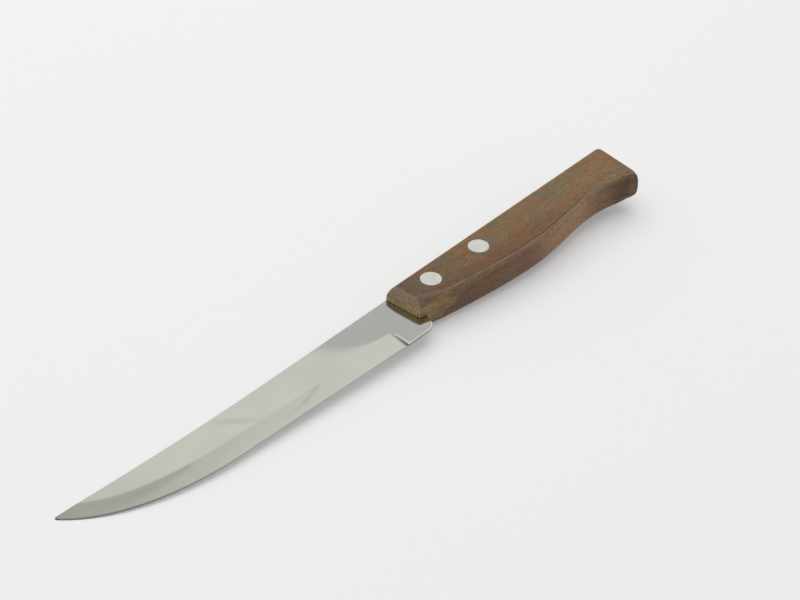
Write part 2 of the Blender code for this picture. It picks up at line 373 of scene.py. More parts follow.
class NodeGraph:
    """Adds and links the nodes of one node tree."""

    def __init__(self, tree: bpy.types.NodeTree) -> None:
        """Start from an empty tree."""
        self.tree = tree
        tree.nodes.clear()

    def feed(self, socket: Socket, value: object) -> None:
        """Link a socket to an output, or set its plain value."""
        if isinstance(value, Socket):
            self.tree.links.new(value, socket)
        else:
            socket.default_value = value

    def fill(self, node: bpy.types.Node, inputs: dict) -> None:
        """Link or set a node's inputs, by their names or numbers."""
        for name, value in inputs.items():
            self.feed(node.inputs[name], value)

    def add(self, kind: str, settings: dict | None = None, inputs: dict | None = None) -> bpy.types.Node:
        """Add a node.

        Args:
            kind: Node type.
            settings: Node properties by name.
            inputs: Values or outputs by the name or number of the input.

        Returns:
            The new node.
        """
        node = self.tree.nodes.new(kind)
        for name, value in (settings or {}).items():
            setattr(node, name, value)
        self.fill(node, inputs or {})
        return node

    def math(self, operation: str, *values: object) -> Socket:
        """Return the result of a Math node."""
        return self.add("ShaderNodeMath", {"operation": operation}, dict(enumerate(values))).outputs[0]

    def times(self, first: object, second: object) -> Socket:
        """Return the product of two numbers."""
        return self.math("MULTIPLY", first, second)

    def vector(self, operation: str, *values: object) -> Socket:
        """Return the result of a Vector Math node."""
        inputs = dict(enumerate(values))
        return self.add("ShaderNodeVectorMath", {"operation": operation}, inputs).outputs[0]

    def dot(self, first: object, second: object) -> Socket:
        """Return the dot product of two vectors."""
        inputs = {0: first, 1: second}
        return self.add("ShaderNodeVectorMath", {"operation": "DOT_PRODUCT"}, inputs).outputs["Value"]

    def stretch(self, coordinates: Socket, cell: Point) -> Socket:
        """Return coordinates in which a pattern's cell has the given size in metres."""
        return self.vector("DIVIDE", coordinates, cell)

    def noise(self, coordinates: Socket, cell: Point, detail: float, roughness: float = 0.5) -> Socket:
        """Return soft noise with features of a cell's size in metres."""
        inputs = {"Vector": self.stretch(coordinates, cell), "Scale": 1.0, "Detail": detail,
                  "Roughness": roughness}
        return self.add("ShaderNodeTexNoise", None, inputs).outputs["Fac"]

    def ramp(self, value: object, low: float, high: float, start: float = 0.0, end: float = 1.0) -> Socket:
        """Return a smooth ramp from start, at low, to end, at high."""
        inputs = {"Value": value, "From Min": low, "From Max": high, "To Min": start, "To Max": end}
        return self.add("ShaderNodeMapRange", {"interpolation_type": "SMOOTHSTEP"},
                        inputs).outputs["Result"]

    def blend(self, share: object, first: object, second: object, mode: str = "MIX") -> Socket:
        """Blend two colours.

        Args:
            share: Share of the second colour.
            first: First colour.
            second: Second colour.
            mode: How the second colour acts on the first.

        Returns:
            The blended colour.
        """
        node = self.add("ShaderNodeMix", {"data_type": "RGBA", "blend_type": mode})
        for socket, value in zip((node.inputs[0], node.inputs[6], node.inputs[7]), (share, first, second)):
            self.feed(socket, (*value, 1.0) if isinstance(value, tuple) else value)
        return node.outputs[2]

    def tint(self, colour: object, tone: object) -> Socket:
        """Return a colour times a tone or another colour."""
        return self.blend(1.0, colour, tone, "MULTIPLY")

    def mix(self, share: object, first: object, second: object) -> Socket:
        """Return a number between two others."""
        return self.add("ShaderNodeMix", {"data_type": "FLOAT"}, {0: share, 2: first, 3: second}).outputs[0]

    def parts(self, vector: Socket) -> bpy.types.NodeOutputs:
        """Return the X, Y and Z of a vector."""
        return self.add("ShaderNodeSeparateXYZ", None, {0: vector}).outputs

    def attribute(self, name: str) -> Socket:
        """Return a mesh attribute's value."""
        return self.add("ShaderNodeAttribute", {"attribute_name": name}).outputs["Fac"]

    def seen(self) -> Socket:
        """Tell the rays that see a surface from those that only light it.

        Returns:
            1 for rays from the camera and from shiny or clear surfaces, and 0 for lighting rays.
        """
        rays = self.add("ShaderNodeLightPath").outputs
        shiny = self.math("MAXIMUM", rays["Is Glossy Ray"], rays["Is Transmission Ray"])
        return self.math("MAXIMUM", rays["Is Camera Ray"], shiny)

    def bump(self, height: object, distance: float, strength: float) -> Socket:
        """Return normals that follow a height, with the given depth in metres."""
        inputs = {"Strength": strength, "Distance": distance, "Height": height}
        return self.add("ShaderNodeBump", None, inputs).outputs["Normal"]


@dataclass(frozen=True)
class Finish:
    """A surface finish that makes one material."""

    name: str

    def material(self) -> bpy.types.Material:
        """Build the material.

        Returns:
            The new material.
        """
        material = bpy.data.materials.new(self.name)
        material.use_nodes = True
        graph = NodeGraph(material.node_tree)
        graph.add("ShaderNodeOutputMaterial", None, {"Surface": self.surface(graph)})
        return material

    def surface(self, graph: NodeGraph) -> Socket:
        """Add the finish's shader with its pattern.

        Args:
            graph: Graph to add to.

        Returns:
            The shader's output.
        """
        shader = graph.add("ShaderNodeBsdfPrincipled")
        self.dress(graph, shader)
        return shader.outputs["BSDF"]

    def dress(self, graph: NodeGraph, shader: bpy.types.Node) -> None:
        """Add the finish's pattern to the shader."""
        raise NotImplementedError

    @staticmethod
    def place(graph: NodeGraph) -> Socket:
        """Return the piece's own coordinates, in metres."""
        return graph.add("ShaderNodeTexCoord").outputs["Object"]


@dataclass(frozen=True)
class PolishedSteel(Finish):
    """Stainless sheet: rolled grey on the flat, brighter and warmer where it is ground.

    Attributes:
        rolled: Reflection colour of the rolled flat.
        ground: Reflection colour of the ground faces.
        honed: Colour of the honed bevel along the edge and of the hollow beside the heel's step, a dark
            colour of painted shade and painted reflection that also darkens the narrow facet.
        streak_tone: What the darker streaks leave of the colour.
        roughness: Roughness of the cleanest spots.
        cloud_roughness: What the smudges add to it.
        honed_roughness: What honing adds to it.
        line_roughness: What the lines add to it.
        line_depth: Depth of the lines, in metres.
        streaks: Ends of the darker streaks on the ground faces, in metres, with their half widths and
            strengths; those on the narrow facet are painted reflections.
        roller_line: Cell of the lines that run along the flat, in metres.
        grinding_line: Cell of the lines that run across the ground faces, in metres.
        smudge: Cell of the wiped smudges, in metres.
    """

    name: str = "polished_steel"
    rolled: Colour = (0.488, 0.491, 0.466)
    ground: Colour = (0.630, 0.630, 0.558)
    honed: Colour = (0.160, 0.158, 0.145)
    streak_tone: Colour = (0.870, 0.875, 0.880)
    roughness: float = 0.035
    cloud_roughness: float = 0.04
    honed_roughness: float = 0.2
    line_roughness: float = 0.03
    line_depth: float = 0.3e-6
    roller_line: Point = (9e-3, 0.10e-3, 1e-3)
    grinding_line: Point = (0.12e-3, 7e-3, 1e-3)
    smudge: Point = (14e-3, 9e-3, 9e-3)
    smears: tuple[tuple[Point, Point, float, float], ...] = ()

    def dress(self, graph: NodeGraph, shader: bpy.types.Node) -> None:
        """Blend the rolled and ground finishes by the blade's own attributes.

        Args:
            graph: Graph to add to.
            shader: Shader to dress.
        """
        place = self.place(graph)
        ground = graph.ramp(graph.attribute("ground"), 0.0, 1.0)
        roller = graph.noise(place, self.roller_line, 2.0)
        grinding = graph.noise(place, self.grinding_line, 2.0)
        lines = graph.blend(ground, roller, grinding)
        cloud = graph.noise(place, self.smudge, 2.0)
        # Painted shade and painted reflection: a dark share along the honed bevel, on the narrow facet and
        # in the heel's hollow step, which also roughens the steel there.
        honed = graph.attribute("honed")
        colour = graph.blend(honed, graph.blend(ground, self.rolled, self.ground), self.honed)
        # Darker streaks; the two on the narrow facet are painted reflections.
        for start, end, width, strength in self.smears:
            streaked = self.streak_share(graph, place, Vector(start), Vector(end), width)
            streaked = graph.times(streaked, strength)
            colour = graph.blend(streaked, colour, graph.tint(colour, self.streak_tone))
        tone = graph.ramp(cloud, 0.25, 0.75, 0.97, 1.02)
        rough = graph.math("MULTIPLY_ADD", honed, self.honed_roughness, self.roughness)
        rough = graph.math("MULTIPLY_ADD", cloud, self.cloud_roughness, rough)
        rough = graph.math("MULTIPLY_ADD", lines, self.line_roughness, rough)
        graph.fill(shader, {"Base Color": graph.tint(colour, tone), "Metallic": 1.0, "Roughness": rough,
                            "Normal": graph.bump(lines, self.line_depth, 0.5)})

    @staticmethod
    def streak_share(graph: NodeGraph, place: Socket, start: Vector, end: Vector, width: float) -> Socket:
        """Return the strength of one straight darker streak.

        Args:
            graph: Graph to add to.
            place: The piece's own coordinates.
            start: One end of the smear.
            end: The other end.
            width: Half the smear's width.

        Returns:
            1 along the smear's middle, fading to 0 at its sides and ends.
        """
        along = end - start
        across = Vector((-along.y, along.x, 0.0)).normalized()
        reach = graph.vector("SUBTRACT", place, tuple(start))
        run = graph.dot(reach, tuple(along / along.length_squared))
        apart = graph.math("ABSOLUTE", graph.dot(reach, tuple(across)))
        from_middle = graph.math("ABSOLUTE", graph.math("SUBTRACT", run, 0.5))
        kept = graph.ramp(from_middle, 0.2, 0.6, 1.0, 0.0)
        return graph.times(kept, graph.ramp(apart, 0.0, width, 1.0, 0.0))


@dataclass(frozen=True)
class ShearedSteel(Finish):
    """Dull steel of the sheet's sheared side."""

    name: str = "sheared_steel"
    colour: Colour = (0.330, 0.325, 0.310)
    chatter: Point = (0.2e-3, 0.08e-3, 1e-3)

    def dress(self, graph: NodeGraph, shader: bpy.types.Node) -> None:
        """Darken the steel unevenly and roughen it.

        Args:
            graph: Graph to add to.
            shader: Shader to dress.
        """
        marks = graph.noise(self.place(graph), self.chatter, 2.0)
        tone = graph.ramp(marks, 0.3, 0.7, 0.7, 1.2)
        graph.fill(shader, {"Base Color": graph.tint(self.colour, tone), "Metallic": 1.0,
                            "Roughness": 0.45})


@dataclass(frozen=True)
class BurnishedHighlightSteel(Finish):
    """Bright steel of the rubbed corners round the heel, brighter than the polished steel as a painted
    highlight.
    """

    name: str = "burnished_steel"
    colour: Colour = (0.90, 0.90, 0.88)
    rub: Point = (2e-3, 0.3e-3, 0.3e-3)

    def dress(self, graph: NodeGraph, shader: bpy.types.Node) -> None:
        """Polish the corner, a little unevenly.

        Args:
            graph: Graph to add to.
            shader: Shader to dress.
        """
        marks = graph.noise(self.place(graph), self.rub, 2.0)
        tone = graph.ramp(marks, 0.3, 0.7, 0.9, 1.0)
        rough = graph.ramp(marks, 0.2, 0.8, 0.15, 0.25)
        graph.fill(shader, {"Base Color": graph.tint(self.colour, tone), "Metallic": 1.0,
                            "Roughness": rough})


@dataclass(frozen=True)
class OiledHardwood(Finish):
    """Brown hardwood with orange and olive patches, short fibres, open pores and a worn oil finish, with
    painted sheen, shade and highlights.

    Lengths are in metres.

    Attributes:
        brown: Main colour.
        orange: Colour of the warm patches.
        olive: Colour of the greenish patches.
        heart: Colour of the redder wood along the belly.
        russet: Colour of the red patches on the sides.
        umber: Colour of the pores, the dark bands and the painted shade beside the upper crease.
        ochre: Colour of the raw wood on the sides by the nose.
        fresh_and_bounce_light: Colour of the raw wood on the nose's front, made lighter as painted bounce
            light from the blade.
        sanded: Colour of the nose's sanded chamfer.
        grimy: Colour of the handled wood behind the nose.
        worn_and_highlight: Colour of the rubbed edges, also a painted highlight along the creases.
        butt: Colour of the end grain at the butt.
        nose: X of the handle's front in the frame.
        belly: Y of the line of the rivets in the frame, which the red wood is measured from.
        middle: Height of the handle's middle in the frame.
        length: Length of the handle.
        ochre_reach: How far the raw wood reaches along the sides.
        ochre_lean: How much further it reaches for each metre of height.
        sanded_from: Height above the middle where the sanded part of the nose starts.
        sanded_slope: How much lower that is towards the spine.
        grain_turn: Angle of the grain to the handle, in degrees.
        stroke: Cell of the short strokes along the grain.
        fibre: Cell of the fibres.
        speck: Cell of the fine specks.
        pore: Cell of the open pores.
        band: Cell of the dark bands.
        warm_patch: Cell of the orange patches.
        green_patch: Cell of the olive patches.
        red_patch: Cell of the red patches.
        relief: Depth of the grain's relief.
        drift_cell: Cell of the bends in the grain.
        drift: How far the grain is bent.
        grime_cell: Cell of the ragged border of the handled wood.
        raw_cell: Cell of the ragged border of the raw wood.
        butt_reach: How far from its end the butt is darkened.
        butt_tone: What the darkening, partly painted shade, leaves of the colour there.
        split: How far below the line of the rivets the nose is split above the slot.
        split_height: Height of that split.
    """

    name: str = "oiled_hardwood"
    brown: Colour = (0.193, 0.114, 0.051)
    orange: Colour = (0.224, 0.109, 0.041)
    olive: Colour = (0.155, 0.119, 0.059)
    heart: Colour = (0.160, 0.074, 0.031)
    russet: Colour = (0.165, 0.072, 0.040)
    umber: Colour = (0.050, 0.026, 0.013)
    ochre: Colour = (0.390, 0.260, 0.095)
    fresh_and_bounce_light: Colour = (0.620, 0.440, 0.205)
    sanded: Colour = (0.285, 0.208, 0.128)
    grimy: Colour = (0.130, 0.098, 0.063)
    worn_and_highlight: Colour = (0.310, 0.235, 0.170)
    butt: Colour = (0.098, 0.082, 0.064)
    nose: float = 0.0
    belly: float = 0.0
    middle: float = 0.0
    length: float = 0.1
    ochre_reach: float = 18e-3
    ochre_lean: float = 1.2
    sanded_from: float = 2.5e-3
    sanded_slope: float = 0.08
    grain_turn: float = 6.0
    stroke: Point = (2.6e-3, 0.45e-3, 0.45e-3)
    fibre: Point = (0.9e-3, 0.15e-3, 0.15e-3)
    speck: Point = (0.36e-3, 0.30e-3, 0.30e-3)
    pore: Point = (1.3e-3, 0.26e-3, 0.26e-3)
    band: Point = (20e-3, 1.8e-3, 1.8e-3)
    warm_patch: Point = (11e-3, 3.2e-3, 3.2e-3)
    green_patch: Point = (12e-3, 4.0e-3, 4.0e-3)
    red_patch: Point = (9e-3, 2.6e-3, 2.6e-3)
    relief: float = 20e-6
    drift_cell: Point = (30e-3, 12e-3, 12e-3)
    drift: Point = (0.0, 3.0e-3, 3.0e-3)
    grime_cell: Point = (3e-3, 2e-3, 2e-3)
    raw_cell: Point = (4e-3, 2e-3, 2e-3)
    butt_reach: float = 8e-3
    butt_tone: float = 0.46
    split: float = 5.5e-3
    split_height: float = 2.6e-3

    def dress(self, graph: NodeGraph, shader: bpy.types.Node) -> None:
        """Lay patches, fibres and pores along the grain, and the wear over them, with painted sheen, shade
        and highlights.

        Args:
            graph: Graph to add to.
            shader: Shader to dress.
        """
        place = self.place(graph)
        normal = graph.add("ShaderNodeTexCoord").outputs["Normal"]
        facing = graph.parts(normal)
        side = graph.ramp(graph.math("ABSOLUTE", facing["Z"]), 0.45, 0.85, 1.0, 0.0)
        grain = self.wander(graph, place)
        strokes = graph.noise(grain, self.stroke, 3.0, 0.6)
        fibres = graph.noise(grain, self.fibre, 2.0)
        specks = graph.noise(place, self.speck, 1.0)
        pores = graph.ramp(graph.noise(grain, self.pore, 1.0), 0.58, 0.74)

        colour = self.patchwork(graph, place, grain, side)
        colour = self.end_grain_sheen_and_shade(graph, colour, place, facing, side)
        colour = self.handled(graph, colour, place)
        colour = self.raw_nose(graph, colour, place, facing, side)
        tone = graph.ramp(strokes, 0.25, 0.75, 0.72, 1.28)
        tone = graph.times(tone, graph.ramp(fibres, 0.25, 0.75, 0.86, 1.14))
        tone = graph.times(tone, graph.ramp(specks, 0.25, 0.75, 0.84, 1.16))
        tone = graph.times(tone, self.lengthwise(graph, place))
        colour = graph.tint(colour, tone)
        colour = graph.blend(graph.times(pores, 0.45), colour, self.umber)
        patchy = graph.ramp(strokes, 0.3, 0.65, 0.35, 0.7)
        # Rubbed creases, lightened partly as a painted highlight.
        rubbed_highlight = graph.times(graph.attribute("edge_wear"), patchy)
        colour = graph.blend(rubbed_highlight, colour, self.worn_and_highlight)
        # Painted shade: a thin dark line beside the upper crease.
        colour = graph.blend(graph.attribute("scratch"), colour, self.umber)

        matt = graph.ramp(strokes, 0.2, 0.8, 0.42, 0.56)
        rough = graph.math("MULTIPLY_ADD", pores, 0.2, matt)
        height = graph.math("SUBTRACT", graph.math("MULTIPLY_ADD", strokes, 1.5, fibres), pores)
        graph.fill(shader, {"Base Color": colour, "Roughness": rough, "Specular IOR Level": 0.3,
                            "Normal": graph.bump(height, self.relief, 0.35)})

    def wander(self, graph: NodeGraph, place: Socket) -> Socket:
        """Turn and bend the coordinates a little, so that the grain isn't dead straight.

        Args:
            graph: Graph to add to.
            place: The piece's own coordinates.

        Returns:
            The coordinates along the grain.
        """
        turn = {"Vector": place, "Rotation": (0.0, 0.0, math.radians(self.grain_turn))}
        along = graph.add("ShaderNodeMapping", None, turn).outputs[0]
        inputs = {"Vector": graph.stretch(place, self.drift_cell), "Scale": 1.0, "Detail": 1.0}
        drift = graph.add("ShaderNodeTexNoise", None, inputs).outputs["Color"]
        centred = graph.vector("SUBTRACT", drift, (0.5, 0.5, 0.5))
        return graph.vector("MULTIPLY_ADD", centred, self.drift, along)

    @staticmethod
    def patches(graph: NodeGraph, grain: Socket, shift: float, cell: Point) -> Socket:
        """Return ragged patches along the grain; the shift sets them apart from other patches."""
        return graph.noise(graph.vector("ADD", grain, (shift, 0.0, 0.0)), cell, 4.0, 0.6)

    def patchwork(self, graph: NodeGraph, place: Socket, grain: Socket, side: Socket) -> Socket:
        """Return the wood's colour before wear.

        Args:
            graph: Graph to add to.
            place: The piece's own coordinates.
            grain: The coordinates along the grain.
            side: 1 on the sides and 0 on the flats.

        Returns:
            Brown with orange, olive and, towards the belly and on the sides, red patches.
        """
        bands = self.patches(graph, grain, 0.0, self.band)
        warm = self.patches(graph, grain, 0.11, self.warm_patch)
        green = self.patches(graph, grain, 0.37, self.green_patch)
        red = self.patches(graph, grain, 0.71, self.red_patch)
        colour = graph.blend(graph.ramp(bands, 0.26, 0.50, 0.32, 0.0), self.brown, self.umber)
        colour = graph.blend(graph.ramp(warm, 0.42, 0.62, 0.0, 0.9), colour, self.orange)
        colour = graph.blend(graph.ramp(green, 0.44, 0.62, 0.0, 0.9), colour, self.olive)
        on_flat = graph.math("MULTIPLY_ADD", side, -0.7, 1.0)
        reddened = graph.times(self.heartwood(graph, place, red), on_flat)
        colour = graph.blend(reddened, colour, self.heart)
        share = graph.times(side, graph.ramp(red, 0.40, 0.66, 0.1, 0.75))
        return graph.blend(share, colour, self.russet)

    def heartwood(self, graph: NodeGraph, place: Socket, mottle: Socket) -> Socket:
        """Lay redder wood along the belly, thinning out towards the butt.

        Args:
            graph: Graph to add to.
            place: The piece's own coordinates.
            mottle: Noise that makes its border ragged.

        Returns:
            The share of redder wood.
        """
        spot = graph.parts(place)
        ragged = graph.math("MULTIPLY_ADD", mottle, 5e-3, spot["Y"])
        low = graph.ramp(ragged, self.belly - 4.0e-3, self.belly + 0.5e-3, 0.85, 0.0)
        start, end = (self.nose + share * self.length for share in (0.5, 0.8))
        ahead = graph.ramp(spot["X"], start, end, 1.0, 0.35)
        return graph.times(low, ahead)

    def lengthwise(self, graph: NodeGraph, place: Socket) -> Socket:
        """Let the wood pale from its darker, more handled front to the butt.

        Args:
            graph: Graph to add to.
            place: The piece's own coordinates.

        Returns:
            The tone to multiply the colour by.
        """
        along = graph.parts(place)["X"]
        grime = graph.ramp(along, self.nose, self.nose + 0.38 * self.length, 0.80, 1.0)
        rise = graph.ramp(along, self.nose, self.nose + self.length, 0.94, 1.08)
        return graph.times(grime, rise)

    def handled(self, graph: NodeGraph, colour: Socket, place: Socket) -> Socket:
        """Grey the wood behind the nose, where fingers hold the knife.

        Args:
            graph: Graph to add to.
            colour: The wood's colour so far.
            place: The piece's own coordinates.

        Returns:
            The new colour.
        """
        along = graph.parts(place)["X"]
        mottle = graph.noise(place, self.grime_cell, 3.0, 0.6)
        ragged = graph.math("MULTIPLY_ADD", mottle, 14e-3, along)
        share = graph.ramp(ragged, self.nose + 6e-3, self.nose + 20e-3, 0.75, 0.0)
        return graph.blend(share, colour, self.grimy)

    def end_grain_sheen_and_shade(self, graph: NodeGraph, colour: Socket, place: Socket,
                  facing: bpy.types.NodeOutputs, side: Socket) -> Socket:
        """Darken the sides where fibres run into the wood and lighten them where fibres run out, as painted
        shade and painted sheen by the way the sides face.

        Args:
            graph: Graph to add to.
            colour: The wood's colour so far.
            place: The piece's own coordinates.
            facing: The surface's direction, part by part.
            side: 1 on the sides and 0 on the flats.

        Returns:
            The new colour, which is dark and grey on the butt's end and its belly corner, partly as painted
            shade.
        """
        along = graph.parts(place)["X"]
        rear = self.nose + self.length
        by_butt = graph.ramp(along, rear - self.butt_reach, rear - 0.7 * self.butt_reach)
        by_butt = graph.times(by_butt, graph.ramp(facing["Y"], -0.1, 0.6, 1.0, 0.0))
        # Painted shade on sides facing the point and painted sheen on sides facing the butt.
        sunk = graph.ramp(facing["X"], -0.32, -0.08, 0.44, 0.95)
        grain_sheen = graph.ramp(facing["X"], -0.06, 0.12, 1.0, 1.70)
        tone = graph.mix(by_butt, graph.times(sunk, grain_sheen), self.butt_tone)
        beside = graph.times(side, graph.ramp(facing["X"], -0.65, -0.45))
        colour = graph.blend(beside, colour, graph.tint(colour, tone))
        greyed = graph.times(by_butt, graph.ramp(facing["X"], -0.05, 0.30, 0.0, 0.8))
        return graph.blend(graph.times(greyed, side), colour, self.butt)

    def raw_side(self, graph: NodeGraph, along: Socket, above: Socket, mottle: Socket) -> Socket:
        """Return how raw the wood is along the sides by the nose.

        Args:
            graph: Graph to add to.
            along: Place along the handle.
            above: Height above the handle's middle.
            mottle: Noise that makes the border ragged.

        Returns:
            The share of raw wood.
        """
        reach = self.ochre_reach
        ragged = graph.math("MULTIPLY_ADD", mottle, reach, along)
        ragged = graph.math("MULTIPLY_ADD", above, -self.ochre_lean, ragged)
        return graph.ramp(ragged, self.nose + 0.5 * reach, self.nose + 1.5 * reach, 0.9, 0.0)

    def crack(self, graph: NodeGraph, across: Socket, height: Socket) -> Socket:
        """Return the split of the nose above and below the slot.

        Args:
            graph: Graph to add to.
            across: Distance from the line of the rivets towards the spine.
            height: Distance from the handle's middle.

        Returns:
            The strength of the split.
        """
        apart = graph.math("ABSOLUTE", graph.math("ADD", across, self.split))
        crack = graph.ramp(apart, 0.08e-3, 0.30e-3, 0.8, 0.0)
        fade = graph.ramp(height, 0.3 * self.split_height, self.split_height, 1.0, 0.0)
        return graph.times(crack, fade)

    def raw_nose(self, graph: NodeGraph, colour: Socket, place: Socket,
                 facing: bpy.types.NodeOutputs, side: Socket) -> Socket:
        """Lay raw ochre wood on the front and the sides beside it, with painted bounce light on the front,
        and a grey sanded chamfer.

        Args:
            graph: Graph to add to.
            colour: The wood's colour so far.
            place: The piece's own coordinates.
            facing: The surface's direction, part by part.
            side: 1 on the sides and 0 on the flats.

        Returns:
            The new colour, with the split above the slot.
        """
        spot = graph.parts(place)
        mottle = graph.noise(place, self.raw_cell, 2.0)
        above = graph.math("SUBTRACT", spot["Z"], self.middle)
        near = self.raw_side(graph, spot["X"], above, mottle)
        height = graph.math("ABSOLUTE", above)
        uneven = graph.math("MULTIPLY_ADD", mottle, 1.5e-3, height)
        low = graph.ramp(uneven, 3.4e-3, 5.2e-3, 1.0, 0.5)
        beside = graph.times(graph.times(near, side), low)
        colour = graph.blend(beside, colour, self.ochre)
        # The front's raw wood is made lighter as painted bounce light from the blade.
        ahead = graph.ramp(facing["X"], -0.60, -0.30, 0.95, 0.0)
        colour = graph.blend(ahead, colour, self.fresh_and_bounce_light)
        across = graph.math("SUBTRACT", spot["Y"], self.belly)
        level = graph.math("MULTIPLY_ADD", across, self.sanded_slope, uneven)
        upper = graph.ramp(level, self.sanded_from, self.sanded_from + 1.2e-3, 0.0, 0.9)
        colour = graph.blend(graph.times(ahead, upper), colour, self.sanded)
        crack = self.crack(graph, across, height)
        return graph.blend(graph.times(ahead, crack), colour, self.umber)


@dataclass(frozen=True)
class SatinAluminium(Finish):
    """Pale rivet metal, sanded flush along the handle."""

    name: str = "satin_aluminium"
    colour: Colour = (0.805, 0.815, 0.760)
    sanding: Point = (2.5e-3, 0.07e-3, 0.07e-3)
    dull_spot: Point = (1.6e-3, 1.2e-3, 1.2e-3)
    sanding_depth: float = 3e-6

    def dress(self, graph: NodeGraph, shader: bpy.types.Node) -> None:
        """Add sanding lines and a few dull spots.

        Args:
            graph: Graph to add to.
            shader: Shader to dress.
        """
        place = self.place(graph)
        lines = graph.noise(place, self.sanding, 3.0)
        spots = graph.noise(place, self.dull_spot, 2.0)
        tone = graph.ramp(spots, 0.3, 0.7, 0.94, 1.03)
        rough = graph.ramp(lines, 0.2, 0.8, 0.26, 0.42)
        graph.fill(shader, {"Base Color": graph.tint(self.colour, tone), "Metallic": 1.0,
                            "Roughness": rough, "Normal": graph.bump(lines, self.sanding_depth, 0.4)})


@dataclass(frozen=True)
class PaleBoard(Finish):
    """Matt white floor of a light tent.

    Attributes:
        colour: Colour of the board.
        lift: How much of the board's own colour shows through its shadows to the camera and in the metal.
        tooth: Cell of its fine tooth, in metres.
    """

    name: str = "pale_board"
    colour: Colour = (0.885, 0.885, 0.885)
    lift: float = 0.25
    tooth: Point = (3e-3, 3e-3, 3e-3)

    def surface(self, graph: NodeGraph) -> Socket:
        """Mix the lit board with its plain colour where it is seen.

        Args:
            graph: Graph to add to.

        Returns:
            The mixed shader's output.
        """
        lit = super().surface(graph)
        plain = graph.add("ShaderNodeEmission", None, {"Color": (*self.colour, 1.0)}).outputs[0]
        share = graph.times(graph.seen(), self.lift)
        return graph.add("ShaderNodeMixShader", None, {0: share, 1: lit, 2: plain}).outputs[0]

    def dress(self, graph: NodeGraph, shader: bpy.types.Node) -> None:
        """Give the board a faint tooth.

        Args:
            graph: Graph to add to.
            shader: Shader to dress.
        """
        tooth = graph.noise(self.place(graph), self.tooth, 2.0)
        tone = graph.ramp(tooth, 0.2, 0.8, 0.995, 1.0)
        graph.fill(shader, {"Base Color": graph.tint(self.colour, tone), "Roughness": 0.9,
                            "Specular IOR Level": 0.1})


# Pieces


